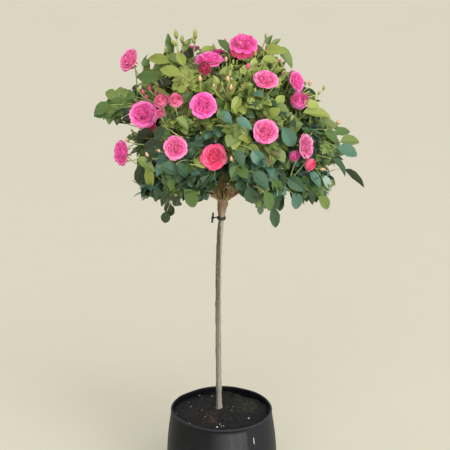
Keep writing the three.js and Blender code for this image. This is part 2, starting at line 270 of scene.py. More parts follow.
def ringed(rings, closed_ends=True):
    """Points and faces of a tube through rings of equal numbers of points, with a fan over each end."""
    sides = len(rings[0])
    points = [p for ring in rings for p in ring]
    faces = []
    for r in range(len(rings) - 1):
        for s in range(sides):
            a, b = r * sides + s, r * sides + (s + 1) % sides
            faces.append((a, b, b + sides, a + sides))
    if closed_ends:
        for r, order in ((0, -1), (len(rings) - 1, 1)):
            centre = sum((Vector(p) for p in rings[r]), Vector()) / sides
            points.append(centre)
            for s in range(sides):
                pair = (r * sides + s, r * sides + (s + 1) % sides)[::order]
                faces.append((*pair, len(points) - 1))
    return points, faces


def smoothstep(x, low, high):
    t = min(1.0, max(0.0, (x - low) / (high - low)))
    return t * t * (3 - 2 * t)


def around(angle, radius, z=0.0):
    """A point at a direction, a distance from the axis and a height."""
    return Vector((cos(angle) * radius, sin(angle) * radius, z))


def circle(sides):
    """Directions in even steps round the axis."""
    return np.linspace(0, 2 * pi, sides, False)


# ---- materials


def pick(sockets, key):
    """The socket at a place or with a name. Of those with the same name, the one in use."""
    if isinstance(key, int):
        return sockets[key]
    return max((s for s in sockets if s.name == key), key=lambda s: s.enabled)


def add_node(tree, kind, x=0, y=0, inputs=None, **settings):
    """Adds a node. Each of its inputs, by name or place, is a value or the output that it is wired to."""
    node = tree.nodes.new(kind)
    node.location = (x, y)
    for key, value in settings.items():
        setattr(node, key, value)
    for key, value in (inputs or {}).items():
        socket = pick(node.inputs, key)
        if isinstance(value, NodeSocket):
            tree.links.new(value, socket)
        else:
            socket.default_value = value
    return node


def new_tree(name, kind, inputs, outputs):
    """An empty node tree with named inputs and outputs. Returns it and the sockets of its inputs."""
    tree = bpy.data.node_groups.new(name, kind)
    for title, socket_kind, value in inputs:
        socket = tree.interface.new_socket(name=title, in_out="INPUT", socket_type="NodeSocket" + socket_kind)
        if value is not None:
            socket.default_value = value
    for title, socket_kind in outputs:
        tree.interface.new_socket(name=title, in_out="OUTPUT", socket_type="NodeSocket" + socket_kind)
    return tree, add_node(tree, "NodeGroupInput", -1000).outputs


def surface(name, colour, roughness, **sockets):
    """A material with a plain Principled surface. Returns the material, its tree and the shader."""
    material = bpy.data.materials.new(name)
    material.use_nodes = True
    material.diffuse_color = (*colour[:3], 1.0)
    shader = material.node_tree.nodes["Principled BSDF"]
    shader.inputs["Base Color"].default_value = (*colour[:3], 1.0)
    shader.inputs["Roughness"].default_value = roughness
    for socket, value in sockets.items():
        shader.inputs[socket.replace("_", " ")].default_value = value
    return material, material.node_tree, shader


def calc(tree, operation, *values, x=-1300, y=700):
    """A maths node over numbers and sockets."""
    return add_node(tree, "ShaderNodeMath", x, y, dict(enumerate(values)), operation=operation).outputs[0]


def times(tree, *values):
    """The product of numbers and sockets."""
    product = values[0]
    for value in values[1:]:
        product = calc(tree, "MULTIPLY", product, value)
    return product


def ramp(tree, value, low, high, top=1.0, x=-1100, y=500):
    """A smooth step of a value: 0 below low, top above high."""
    span = {"Value": value, "From Min": low, "From Max": high, "To Max": top}
    node = add_node(tree, "ShaderNodeMapRange", x, y, span, interpolation_type="SMOOTHSTEP")
    return node.outputs["Result"]


def weathering_group():
    """A patchy mask and a height, for dust, damp, algae and small unevenness."""
    group = bpy.data.node_groups.get("Weathering")
    if group:
        return group
    scales = (("Patch Scale", "Float", 20.0), ("Grain Scale", "Float", 300.0), ("Amount", "Float", 0.5))
    inputs = (("Vector", "Vector", None), *scales)
    group, given = new_tree("Weathering", "ShaderNodeTree", inputs, (("Mask", "Float"), ("Height", "Float")))
    coarse = {"Vector": given["Vector"], "Scale": given["Patch Scale"], "Detail": 4.0}
    fine = {"Vector": given["Vector"], "Scale": given["Grain Scale"], "Detail": 3.0}
    patches = add_node(group, "ShaderNodeTexNoise", -450, 150, coarse)
    grain = add_node(group, "ShaderNodeTexNoise", -450, -150, fine)
    edge = ramp(group, times(group, patches.outputs["Fac"], grain.outputs["Fac"]), 0.16, 0.42, x=0, y=100)
    mask = calc(group, "MULTIPLY", edge, given["Amount"], x=250, y=100)
    add_node(group, "NodeGroupOutput", 500, 0, {"Mask": mask, "Height": grain.outputs["Fac"]})
    return group


def weather(tree, patch_scale, grain_scale, amount, stretch=(1.0, 1.0, 1.0), x=-900):
    """Puts the weathering group in a material, over Object coordinates. Returns its mask and height."""
    place = add_node(tree, "ShaderNodeTexCoord", x - 400).outputs["Object"]
    place = add_node(tree, "ShaderNodeMapping", x - 200, 0, {"Vector": place, "Scale": stretch}).outputs[0]
    given = {"Vector": place, "Patch Scale": patch_scale, "Grain Scale": grain_scale, "Amount": amount}
    return add_node(tree, "ShaderNodeGroup", x, node_tree=weathering_group(), inputs=given).outputs


def axes(tree):
    """The X, Y and Z of a place, in metres."""
    place = add_node(tree, "ShaderNodeTexCoord", -1900, 500).outputs["Object"]
    return add_node(tree, "ShaderNodeSeparateXYZ", -1700, 500, {0: place}).outputs


def coat(tree, shader, base, *coats):
    """Lays coats over a base colour, each a mask and a colour, and wires the result to the shader."""
    below = (*base[:3], 1.0)
    for step, (mask, colour) in enumerate(coats):
        colour = srgb(colour) if isinstance(colour, str) else colour
        layers = {"Factor": mask, "A": below, "B": (*colour[:3], 1.0)}
        below = add_node(tree, "ShaderNodeMix", -900 + 90 * step, 200, layers, data_type="RGBA").outputs[2]
    tree.links.new(below, shader.inputs["Base Color"])


def bump(tree, shader, height, strength, distance):
    relief = {"Height": height, "Strength": strength, "Distance": distance}
    node = add_node(tree, "ShaderNodeBump", -250, -250, relief)
    tree.links.new(node.outputs["Normal"], shader.inputs["Normal"])


def vary_roughness(tree, shader, mask, low, high):
    node = add_node(tree, "ShaderNodeMapRange", -250, 0, {"Value": mask, "To Min": low, "To Max": high})
    tree.links.new(node.outputs["Result"], shader.inputs["Roughness"])


def pot_plastic(pot):
    """Black plastic with dust, streaks partly painted sheen, a painted sheen band down the front, a painted
    paler right side and a painted rim highlight.
    """
    material, tree, shader = surface("black_pot_plastic", pot.colour, 0.5, Specular_IOR_Level=0.2)
    dust, dust_height = weather(tree, 9.0, 420.0, 0.5)
    # lighter vertical streaks: partly scuff marks, partly painted sheen
    scuff_and_sheen_streaks, _ = weather(tree, 60.0, 900.0, 0.3, stretch=(1.0, 1.0, 0.06), x=-1500)
    x, y, z = axes(tree)
    # degrees round the pot from its front, to the right
    turn = calc(tree, "MULTIPLY", calc(tree, "ARCTAN2", x, calc(tree, "MULTIPLY", y, -1.0)), 180 / pi)
    # painted sheen: a lighter band down the front wall, from 14 degrees left to 32 right and under the rim,
    # that stands in for a reflection
    painted_sheen = times(tree, ramp(tree, turn, -14, 12), ramp(tree, turn, 32, 27), ramp(tree, z, 0.274, 0.262, 0.5))
    painted_sheen = times(tree, painted_sheen, calc(tree, "ADD", 0.65, scuff_and_sheen_streaks))
    # painted reflection: the wall right of the sheen band, from 24 to 130 degrees round, is painted paler
    right = times(tree, ramp(tree, turn, 24, 34, 0.3), ramp(tree, turn, 130, 80))
    # painted highlight: the top of the rolled rim is painted lighter along the front
    rim = times(tree, ramp(tree, z, 0.2765, 0.2795, 0.4), ramp(tree, y, 0.02, -0.06))
    scratch = times(tree, calc(tree, "COMPARE", turn, 38.0, 0.45), calc(tree, "COMPARE", z, 0.238, 0.0085))
    dust_and_painted_sheen = ((dust, "1b1d21"), (scuff_and_sheen_streaks, "24262b"), (right, "36393f"))
    coat(tree, shader, pot.colour, *dust_and_painted_sheen, (painted_sheen, pot.painted_sheen), (rim, "4c4f59"), (scratch, "c8c8c6"))
    vary_roughness(tree, shader, dust, 0.46, 0.62)
    bump(tree, shader, dust_height, 0.12, 0.0006)
    return material


def moist_soil(soil):
    """Dark soil: lighter clods, damp algae, moss at the back right and brown peat left of the stem."""
    material, tree, shader = surface("moist_soil", soil.colour, 0.9)
    clods, clod_height = weather(tree, 70.0, 520.0, 1.0)
    algae, _ = weather(tree, 13.0, 260.0, 0.5, x=-1500)
    x, y, _ = axes(tree)
    moss = times(tree, ramp(tree, x, 0.03, 0.055), ramp(tree, x, 0.115, 0.09), ramp(tree, y, 0.0, 0.03, 0.8))
    peat = times(tree, ramp(tree, x, -0.062, -0.036), ramp(tree, x, -0.004, -0.02))
    peat = times(tree, peat, ramp(tree, y, -0.068, -0.03, 0.75), ramp(tree, y, 0.034, -0.004))
    coats = ((clods, "1b1816"), (algae, "151614"), (moss, "2f3320"), (peat, "3d2a25"))
    coat(tree, shader, soil.colour, *coats)
    vary_roughness(tree, shader, clods, 0.72, 0.98)
    bump(tree, shader, clod_height, 0.8, 0.002)
    return material


def rose_bark(stem):
    """Grey bark: painted shade, dark olive green, down its left side, paler low down, tanned at the head,
    patched and furrowed.
    """
    material, tree, shader = surface("rose_bark", stem.bark, 0.8)
    furrows, furrow_height = weather(tree, 130.0, 900.0, 1.0, stretch=(1.0, 1.0, 0.16))
    patches, _ = weather(tree, 24.0, 200.0, 1.0, stretch=(1.0, 1.0, 0.3), x=-1500)
    specks, _ = weather(tree, 210.0, 1400.0, 0.9, stretch=(1.0, 1.0, 0.55), x=-2100)
    x, _, z = axes(tree)
    # distance to the right of the stem's middle, which leans by 15 mm in a metre
    aside = calc(tree, "ADD", calc(tree, "MULTIPLY_ADD", z, -0.0154, x), 0.0115)
    coat(
        tree,
        shader,
        stem.bark,
        # painted shade: the left side of the stem is painted dark
        (ramp(tree, aside, -0.0006, -0.0056, 0.95), stem.painted_shade_bark),
        (ramp(tree, z, 0.68, 0.5, 0.6), "7f7b74"),
        (ramp(tree, z, 0.83, 0.885, 0.85), "7d5a3a"),
        (ramp(tree, patches, 0.3, 1.0, 0.55), "5c5644"),
        (ramp(tree, furrows, 0.3, 1.0, 0.5), "958e7a"),
        (ramp(tree, specks, 0.62, 0.88, 0.7), "b4af9c"),
    )
    vary_roughness(tree, shader, furrows, 0.62, 0.9)
    bump(tree, shader, furrow_height, 0.5, 0.0012)
    return material


def tie_rubber():
    material, tree, shader = surface("tie_rubber", srgb("1c1c1e"), 0.6)
    wear, height = weather(tree, 120.0, 1500.0, 0.5)
    coat(tree, shader, srgb("1b1b1d"), (wear, "3a3a3b"))
    vary_roughness(tree, shader, wear, 0.45, 0.75)
    bump(tree, shader, height, 0.2, 0.0004)
    return material


# ---- geometry node trees


def geometry_tree(name, *inputs):
    """A node tree from geometry to geometry, with more named inputs."""
    inputs = (("Geometry", "Geometry", None), *inputs)
    return new_tree(name, "GeometryNodeTree", inputs, (("Geometry", "Geometry"),))


def named(tree, name, data_type, x=-700, y=0):
    node = add_node(tree, "GeometryNodeInputNamedAttribute", x, y, {"Name": name}, data_type=data_type)
    return pick(node.outputs, "Attribute")


def paint_by(tree, geometry, attribute, materials, x=400):
    """Ends a tree with a chain of Set Material nodes: faces whose attribute is n get material n."""
    value = named(tree, attribute, "INT", x - 200, -300)
    equal = {"data_type": "INT", "operation": "EQUAL"}
    for index, material in enumerate(materials):
        is_this = add_node(tree, "FunctionNodeCompare", x, -300, {"A": value, "B": index}, **equal).outputs[0]
        paint = {"Geometry": geometry, "Selection": is_this, "Material": material}
        geometry = add_node(tree, "GeometryNodeSetMaterial", x + 200, 0, paint).outputs[0]
        x += 200
    add_node(tree, "NodeGroupOutput", x + 300, 0, {"Geometry": geometry})
    return tree


def real_copies(tree, points, patterns, turn, size, which=None):
    """Sets the pieces of a collection on points, each turned and sized, as real geometry."""
    source = {"Collection": patterns, "Separate Children": True, "Reset Children": True}
    pieces = add_node(tree, "GeometryNodeCollectionInfo", -700, 300, source).outputs[0]
    planted = {"Points": points, "Instance": pieces, "Pick Instance": True, "Rotation": turn, "Scale": size}
    if which is not None:
        planted["Instance Index"] = which
    plant = add_node(tree, "GeometryNodeInstanceOnPoints", -150, 0, planted).outputs[0]
    return add_node(tree, "GeometryNodeRealizeInstances", 50, 0, {"Geometry": plant}).outputs[0]


def planting_tree(name, materials):
    """Sets a copy of a collection's piece on each point. Point attributes kind, turn and size choose the
    piece, its direction and scales. Face attribute shade and point attribute tint choose the material."""
    tree, given = geometry_tree(
        name, ("Patterns", "Collection", None), ("Size", "Float", 1.0), ("Shades Per Tint", "Int", 1)
    )
    turn = add_node(tree, "FunctionNodeEulerToRotation", -400, -200, {0: named(tree, "turn", "FLOAT_VECTOR")})
    scales = {0: named(tree, "size", "FLOAT_VECTOR"), "Scale": given["Size"]}
    size = add_node(tree, "ShaderNodeVectorMath", -400, -400, scales, operation="SCALE")
    kind = named(tree, "kind", "INT")
    real = real_copies(tree, given["Geometry"], given["Patterns"], turn.outputs[0], size.outputs[0], kind)
    # the material's number is shade + tint * shades per tint
    shade, tint_number = named(tree, "shade", "INT", -200, -600), named(tree, "tint", "INT", -200, -500)
    factors = {0: tint_number, 1: given["Shades Per Tint"], 2: shade}
    number = add_node(tree, "FunctionNodeIntegerMath", 50, -300, factors, operation="MULTIPLY_ADD").outputs[0]
    stored = {"Geometry": real, "Name": "finish", "Value": number}
    on_faces = {"data_type": "INT", "domain": "FACE"}
    numbered = add_node(tree, "GeometryNodeStoreNamedAttribute", 250, 0, stored, **on_faces).outputs[0]
    return paint_by(tree, numbered, "finish", materials)


def cane_tree(materials):
    """A tapered cane along each line of the mesh: point attribute girth is its radius, tint its material."""
    tree, given = geometry_tree("Canes", ("Sides", "Int", 6), ("Girth", "Float", 1.0))
    lines = add_node(tree, "GeometryNodeMeshToCurve", -700, 0, {0: given["Geometry"]}).outputs[0]
    girth = calc(tree, "MULTIPLY", named(tree, "girth", "FLOAT"), given["Girth"], x=-500, y=-200)
    section = {"Resolution": given["Sides"], "Radius": 1.0}
    ring = add_node(tree, "GeometryNodeCurvePrimitiveCircle", -300, -300, section).outputs[0]
    sweep = {"Curve": lines, "Profile Curve": ring, "Scale": girth, "Fill Caps": True}
    canes = add_node(tree, "GeometryNodeCurveToMesh", -100, 0, sweep).outputs[0]
    real = add_node(tree, "GeometryNodeRealizeInstances", 100, 0, {"Geometry": canes}).outputs[0]
    return paint_by(tree, real, "tint", materials)


def scatter_tree(name, material):
    """Scatters small lumps over a surface, each turned and sized at random."""
    tree, given = geometry_tree(
        name,
        ("Patterns", "Collection", None),
        ("Spacing", "Float", 0.003),
        ("Density", "Float", 20000.0),
        ("Smallest", "Float", 0.5),
        ("Largest", "Float", 1.5),
        ("Tumble", "Float", 0.5),
        ("Seed", "Int", 1),
    )
    seed, tumble = {"Seed": given["Seed"]}, given["Tumble"]
    sown = {"Mesh": given["Geometry"], "Distance Min": given["Spacing"], "Density Max": given["Density"]}
    poisson = {"distribute_method": "POISSON"}
    strewn = add_node(tree, "GeometryNodeDistributePointsOnFaces", -700, 0, sown | seed, **poisson)
    tilt = add_node(tree, "ShaderNodeCombineXYZ", -800, -400, {"X": tumble, "Y": tumble, "Z": 1.0}).outputs[0]
    limits = []
    for limit in ((-1.0, -1.0, -3.15), (1.0, 1.0, 3.15)):
        most = add_node(tree, "ShaderNodeVectorMath", -600, -400, {0: limit, 1: tilt}, operation="MULTIPLY")
        limits.append(most.outputs[0])
    chances = []
    for kind, low, high in (("FLOAT_VECTOR", *limits), ("FLOAT", given["Smallest"], given["Largest"])):
        span = {"Min": low, "Max": high, **seed}
        chance = add_node(tree, "FunctionNodeRandomValue", -400, -300, span, data_type=kind)
        chances.append(pick(chance.outputs, "Value"))
    real = real_copies(tree, strewn.outputs["Points"], given["Patterns"], *chances)
    painted = {"Geometry": real, "Material": material}
    paint = add_node(tree, "GeometryNodeSetMaterial", 250, 0, painted).outputs[0]
    add_node(tree, "NodeGroupOutput", 450, 0, {"Geometry": paint})
    return tree


def grow_nodes(obj, tree, **values):
    """Runs a node tree on an object and leaves the result as its plain mesh."""
    modifier = obj.modifiers.new(tree.name, "NODES")
    modifier.node_group = tree
    wanted = {key.replace("_", " ").title(): value for key, value in values.items()}
    for item in tree.interface.items_tree:
        if item.item_type == "SOCKET" and item.in_out == "INPUT" and item.name in wanted:
            modifier[item.identifier] = wanted.pop(item.name)
    if wanted:
        raise RuntimeError(f"{tree.name} has no input {sorted(wanted)}")
    bpy.context.view_layer.update()
    graph = bpy.context.evaluated_depsgraph_get()
    result = bpy.data.meshes.new_from_object(
        obj.evaluated_get(graph), preserve_all_data_layers=True, depsgraph=graph
    )
    obj.modifiers.clear()
    old = obj.data
    obj.data = result
    bpy.data.meshes.remove(old)
    if not result.polygons or not result.materials:
        raise RuntimeError(f"{obj.name} came out empty")
    drop_spare_materials(obj)


def drop_spare_materials(obj):
    """Takes empty and unused material slots off a mesh."""
    mesh = obj.data
    index = np.zeros(len(mesh.polygons), dtype=np.int32)
    mesh.polygons.foreach_get("material_index", index)
    used = sorted(set(index.tolist()))
    kept = [mesh.materials[i] for i in used]
    if any(m is None for m in kept):
        raise RuntimeError(f"{obj.name} has faces with no material")
    order = np.zeros(max(used) + 1, dtype=np.int32)
    for new, old in enumerate(used):
        order[old] = new
    mesh.materials.clear()
    for material in kept:
        mesh.materials.append(material)
    mesh.polygons.foreach_set("material_index", order[index])
    for name in ("finish", "shade", "tint", "kind", "turn", "size", "girth"):
        if name in mesh.attributes:
            mesh.attributes.remove(mesh.attributes[name])
    mesh.update()


class PatternBox:
    """A collection of small pieces to be copied, which is emptied when the copies are made."""

    def __init__(self, name, meshes):
        self.collection = bpy.data.collections.new(name)
        for index, mesh in enumerate(meshes):
            self.collection.objects.link(bpy.data.objects.new(f"{name}_{index:02d}", mesh))

    def __enter__(self):
        return self.collection

    def __exit__(self, *_):
        for obj in list(self.collection.objects):
            mesh = obj.data
            bpy.data.objects.remove(obj)
            bpy.data.meshes.remove(mesh)
        bpy.data.collections.remove(self.collection)


def point_mesh(name, rows):
    """A mesh of loose points. Each row holds place, kind, turn (Euler), size (x, y and z) and tint."""
    places, kinds, turns, sizes, tints = zip(*rows)
    mesh = bpy.data.meshes.new(name)
    mesh.from_pydata([tuple(place) for place in places], [], [])
    for key, values in (("kind", kinds), ("tint", tints)):
        mesh.attributes.new(key, "INT", "POINT").data.foreach_set("value", values)
    for key, values in (("turn", turns), ("size", sizes)):
        values = [value for vector in values for value in vector]
        mesh.attributes.new(key, "FLOAT_VECTOR", "POINT").data.foreach_set("vector", values)
    return mesh


# ---- pot and soil


def pot_radius(pot, z):
    below = z < pot.belly_height
    gone = 1 - z / pot.belly_height if below else (z - pot.belly_height) / (pot.height - pot.belly_height)
    return pot.belly - (pot.belly - (pot.base if below else pot.rim)) * max(0.0, gone) ** 1.9


# direction and half width in degrees, and depth in millimetres, of the rim's dents. Below zero it is a bulge.
RIM_DENTS = ((270, 50, 8.0), (228, 26, 6.0), (172, 22, -2.3), (128, 16, 2.6), (62, 14, 2.1), (147, 7, -1.4))
POT_SIDES = 180


def rim_dent(pot, angle, z):
    """How far the wall is pushed in at a direction and height."""
    total = 0.0
    for direction, width, depth in RIM_DENTS:
        off = (degrees(angle) - direction + 180) % 360 - 180
        total += depth * exp(-((off / width) ** 2))
    return pot.dents * total * MM * smoothstep(z, pot.belly_height, pot.height)


def make_pot(pot):
    bead, wall = pot.bead, pot.wall
    top = pot.height - bead
    turned_in = ((0.0, 0.0075), (0.0006, 0.0045), (0.002, 0.002), (0.0045, 0.0005))
    outer = [(pot_radius(pot, max(z, 0.004)) - inset, z) for z, inset in turned_in]
    outer += [(pot_radius(pot, z), z) for z in np.linspace(0.008, top - 0.006, 46)]
    outer.append((pot_radius(pot, top) + 0.0004, top - 0.003))
    centre = pot.rim - 0.0004
    roll = [
        (centre + bead * cos(a), top + bead * sin(a))
        for a in np.linspace(radians(-50), radians(190), 12)
    ]
    inner = [(pot_radius(pot, z) - wall, z) for z in np.linspace(top - 0.004, wall + 0.002, 24)]
    inner.append((pot_radius(pot, 0.004) - wall - 0.006, wall))
    rings = []
    for radius, z in outer + roll + inner:
        ring = []
        for s in range(POT_SIDES):
            angle = 2 * pi * s / POT_SIDES
            ripple = 0.00035 * noise.noise(around(angle, 3, z * 14))
            ring.append(around(angle, radius - rim_dent(pot, angle, z) + ripple, z))
        rings.append(ring)
    points, faces = ringed(rings)
    return closed_object("pot_shell", points, faces, pot_plastic(pot))


def soil_height(x, y, foot):
    """Height of the soil's surface: a mound round the stem, with dips and lumps."""
    away = hypot(x - foot.x, y - foot.y)
    mound = 0.005 * (1 - smoothstep(away, 0, 0.055))
    dips = sin(x / 0.017 + 1) * cos(y / 0.021) + sin((x - y) / 0.031)
    broad = 0.0022 * (dips - 1) * smoothstep(away, 0, 0.055)
    lumps = 0.0034 * noise.fractal(Vector((x * 55, y * 55, 2.0)), 0.8, 2.2, 4)
    grit = 0.0011 * noise.noise(Vector((x * 330, y * 330, 7.0)))
    return mound + broad + lumps + grit


SOIL_GAP = 0.0006
STREWN_RADIUS = 0.131
SOIL_SIDES, SOIL_STEPS = 220, 84


def soil_level():
    """Height of the soil's surface, a little under the top of the frame's soil, which is mounded."""
    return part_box("potting_soil")[1][2] - 0.005


def make_soil_surface(pot, soil):
    level, foot = soil_level(), stem_line()[0][0]
    edge = pot_radius(pot, level) - pot.wall - SOIL_GAP
    rings = []
    for bottom in (0.0, 0.5, 1.0):
        z = level - 0.03 + 0.022 * bottom
        wall = pot_radius(pot, z) - pot.wall - SOIL_GAP
        rings.append([around(a, wall - rim_dent(pot, a, z), z) for a in circle(SOIL_SIDES)])
    for step in range(SOIL_STEPS):
        r = edge * (1 - step / SOIL_STEPS)
        ring = []
        for a in circle(SOIL_SIDES):
            dent = rim_dent(pot, a, level) * smoothstep(r, edge * 0.8, edge)
            x, y = cos(a) * (r - dent), sin(a) * (r - dent)
            ring.append((x, y, level + soil_height(x, y, foot)))
        rings.append(ring)
    points, faces = ringed(rings)
    return closed_object("soil_surface", points, faces, moist_soil(soil))


def lump_mesh(name, seed, squash=(1.0, 1.0, 1.0), detail=1):
    """A small rough lump about one millimetre in radius."""
    bm = bmesh.new()
    bmesh.ops.create_icosphere(bm, subdivisions=detail, radius=1.0 * MM)
    for v in bm.verts:
        rough = 1 + 0.45 * noise.noise(v.co * 900 + Vector((seed * 7.3, seed * 3.1, seed)))
        v.co = Vector((v.co.x * squash[0], v.co.y * squash[1], v.co.z * squash[2])) * rough
    mesh = bpy.data.meshes.new(name)
    bm.to_mesh(mesh)
    bm.free()
    mesh.shade_smooth()
    return mesh


def soil_crumb_finish():
    material, tree, shader = surface("soil_crumbs", srgb("382d25"), 0.95)
    patches, _ = weather(tree, 190.0, 900.0, 1.0)
    coat(tree, shader, srgb("0e0d0c"), (patches, "251f1c"))
    return material


# Grains (kind 0 to 3) and bits of leaf (4 to 7) that lie apart on the soil: place in millimetres, kind, size.
SOIL_BITS = (
    (-66, 118, 0, 1.5), (-57, 29, 1, 1.4), (-89, 44, 2, 1.3), (-13, -80, 3, 2.8), (-5, -59, 0, 1.6),
    (5, -65, 1, 1.7), (-1, -71, 2, 1.3), (76, -21, 2, 2.2), (79, -25, 0, 1.3), (29, 25, 3, 1.2),
    (-29, 108, 1, 1.4), (-42, 7, 4, 4.2), (-30, -18, 5, 4.6), (-22, 1, 6, 3.8), (-27, -42, 7, 4.4),
    (-39, -30, 4, 3.6), (-16, -54, 5, 3.2), (-34, -8, 6, 3.0), (18, 62, 7, 3.0),
)


def place_soil_bits(meshes, materials):
    rand = random.Random(4)
    foot = stem_line()[0][0]
    rows = []
    for x, y, kind, size in SOIL_BITS:
        x, y = x * MM, y * MM
        tumble = 3.0 if kind < 4 else 0.4
        turn = Euler((rand.uniform(-tumble, tumble), rand.uniform(-tumble, tumble), rand.uniform(0, 6.28)))
        place = (x, y, soil_level() + soil_height(x, y, foot) + 0.0012)
        rows.append((place, kind, turn, (size,) * 3, kind // 4))
    return plant_patterns("soil_bits", rows, meshes, materials, 1)


def scatter_on_soil(soil_surface, name, meshes, material, amount, sizes, tumble, spacing, seed):
    """Strews lumps over the upper side of the soil inside the rim."""
    area = bpy.data.meshes.new(name)
    bm = bmesh.new()
    bm.from_mesh(soil_surface.data)
    low = [f for f in bm.faces if f.normal.z < 0.3 or f.calc_center_median().xy.length > STREWN_RADIUS]
    bmesh.ops.delete(bm, geom=low, context="FACES")
    inputs = {"density": amount / sum(f.calc_area() for f in bm.faces), "spacing": spacing}
    bm.to_mesh(area)
    bm.free()
    obj = new_object(name, area)
    inputs |= {"smallest": sizes[0], "largest": sizes[1], "tumble": tumble, "seed": seed}
    with PatternBox(name + "_pattern", meshes) as patterns:
        grow_nodes(obj, scatter_tree(name, material), patterns=patterns, **inputs)
    return obj


# ---- stem


@lru_cache(maxsize=1)
def stem_line():
    """Centre and radius of the stem's rings from foot to head, read from the frame's stem."""
    rings = {}
    for v in frame["nodes"]["stem"].data.vertices:
        rings.setdefault(round(v.co.z, 4), []).append(v.co.copy())
    line = []
    for z in sorted(rings):
        ring = rings[z]
        centre = sum(ring, Vector()) / len(ring)
        wide = [(p - centre).length for p in ring if (p - centre).length > 1 * MM]
        if wide:
            xs, ys = [p.x for p in ring], [p.y for p in ring]
            middle = Vector((min(xs) + max(xs), min(ys) + max(ys), 2 * z)) / 2
            line.append((middle, max(wide)))
    return line


def stem_at(z):
    line = stem_line()
    for (a, ra), (b, rb) in zip(line, line[1:]):
        if z <= b.z:
            t = min(1.0, max(0.0, (z - a.z) / (b.z - a.z)))
            return a.lerp(b, t), ra + (rb - ra) * t
    return line[-1]


# compass direction and steepness in degrees, and radius in millimetres, of each bough at the head
BOUGHS = {
    "right": (-12, 34, 5.4),
    "front_right": (-62, 52, 4.4),
    "front_left": (-128, 44, 4.6),
    "left": (-178, 36, 4.8),
    "back_left": (122, 48, 4.6),
    "back_right": (52, 46, 4.8),
    "leader": (20, 84, 5.6),
}
BOUGH_REACH = 0.180
BOUGH_SAG = 0.009
BOUGH_DROP = 0.016
BOUGH_TAPER = 0.62
# share of a bough that is part of the stem's piece
BOUGH_START = 0.62


def bough_point(name, t):
    """Point of a bough's middle line at a share t of its length, and its radius there."""
    turn, rise, radius = BOUGHS[name]
    turn, rise = radians(turn), radians(rise)
    start = stem_line()[-1][0] - UP * BOUGH_DROP
    out = around(turn, cos(rise), sin(rise))
    tip = start + out * BOUGH_REACH
    middle = start.lerp(tip, 0.5) + UP * BOUGH_SAG
    point = start * (1 - t) ** 2 + middle * 2 * t * (1 - t) + tip * t**2
    return point, radius * MM * (1 - (1 - BOUGH_TAPER) * t)


def tube(points, radii, sides):
    """Rings of a tube along points, square to its run."""
    rings = []
    for i, (p, r) in enumerate(zip(points, radii)):
        ahead = points[min(i + 1, len(points) - 1)] - points[max(i - 1, 0)]
        square = ahead.to_track_quat("Z", "X")
        rings.append([p + square @ around(a, r) for a in circle(sides)])
    return rings


# height over the foot, direction in degrees, and size in millimetres, of the scars of cut-off side shoots
STEM_SCARS = (
    (0.06, 40, 2.0), (0.135, 250, 1.6), (0.2, 120, 2.1), (0.262, 300, 1.7), (0.33, 200, 2.2),
    (0.4, 20, 1.7), (0.462, 260, 2.0), (0.52, 90, 1.8), (0.556, 330, 2.3),
)
# direction and steepness in degrees, length, and radius in millimetres, of the cut stubs on the head
HEAD_STUBS = ((150, 62, 0.026, 4.2), (-40, 58, 0.03, 4.6), (85, 70, 0.024, 4.0), (-100, 68, 0.022, 3.8))
# distance under the stem's top and radius of the knobs that swell the head
HEAD_KNOBS = ((0.020, 0.0128), (0.034, 0.0118), (0.008, 0.0118))


def stem_tubes(stem):
    """Rings of the stem, of the first stretch of each bough and of the cut stubs."""
    foot, head = stem_line()[0][0], stem_line()[-1][0]
    points, radii = zip(*(stem_at(z) for z in np.linspace(foot.z, head.z, 120)))
    tubes = [tube(points, [r + stem.spare for r in radii], 20)]
    for name in BOUGHS:
        points, radii = zip(*(bough_point(name, t) for t in np.linspace(0.0, BOUGH_START, 14)))
        tubes.append(tube(points, radii, 14))
    for turn, rise, reach, radius in HEAD_STUBS:
        rise = radians(rise)
        out = around(radians(turn), cos(rise), sin(rise))
        steps = [head - UP * 0.018 + out * reach * t for t in (0, 0.4, 0.8, 1.0)]
        tubes.append(tube(steps, [radius * MM] * 3 + [radius * 0.8 * MM], 12))
    return tubes


def stem_lumps():
    """Place, radius, height over width, and detail of the head's knobs and the stem's scars."""
    foot, head = stem_line()[0][0], stem_line()[-1][0]
    for i, (drop, radius) in enumerate(HEAD_KNOBS):
        yield head - UP * drop + around(i * 2.3, 0.003), radius, 1.0, 3
    for over, direction, size in STEM_SCARS:
        centre, radius = stem_at(foot.z + over)
        yield centre + around(radians(direction), 1) * radius * 0.86, size * 1.25 * MM, 1.5, 2


def melt_together(obj, cell):
    """Turns overlapping closed parts into one even mesh."""
    parts = obj.data
    join = obj.modifiers.new("join", "REMESH")
    join.mode = "VOXEL"
    join.voxel_size = cell
    soften = obj.modifiers.new("soften", "SMOOTH")
    soften.factor = 0.5
    soften.iterations = 4
    bpy.context.view_layer.update()
    graph = bpy.context.evaluated_depsgraph_get()
    obj.data = bpy.data.meshes.new_from_object(obj.evaluated_get(graph), depsgraph=graph)
    obj.modifiers.clear()
    bpy.data.meshes.remove(parts)


def roughen(mesh, relief):
    """Gives the bark its furrows, warts and swellings, above the soil."""
    foot = stem_line()[0][0]
    normals = [v.normal.copy() for v in mesh.vertices]
    for v, normal in zip(mesh.vertices, normals):
        p = v.co
        ridge = noise.fractal(Vector((p.x * 420, p.y * 420, p.z * 60)), 0.7, 2.1, 3)
        wart = noise.noise(Vector((p.x * 160, p.y * 160, p.z * 110)))
        swell = 0.0007 * sin(p.z * 88) * sin(p.z * 31 + 1)
        near_foot = 1 - smoothstep(p.z - foot.z, 0.0, 0.03)
        v.co += normal * (relief * ridge + 0.0005 * wart + swell * (1 - near_foot))
        if p.z - foot.z < 0.003:
            v.co.z = max(v.co.z, foot.z - 0.004)


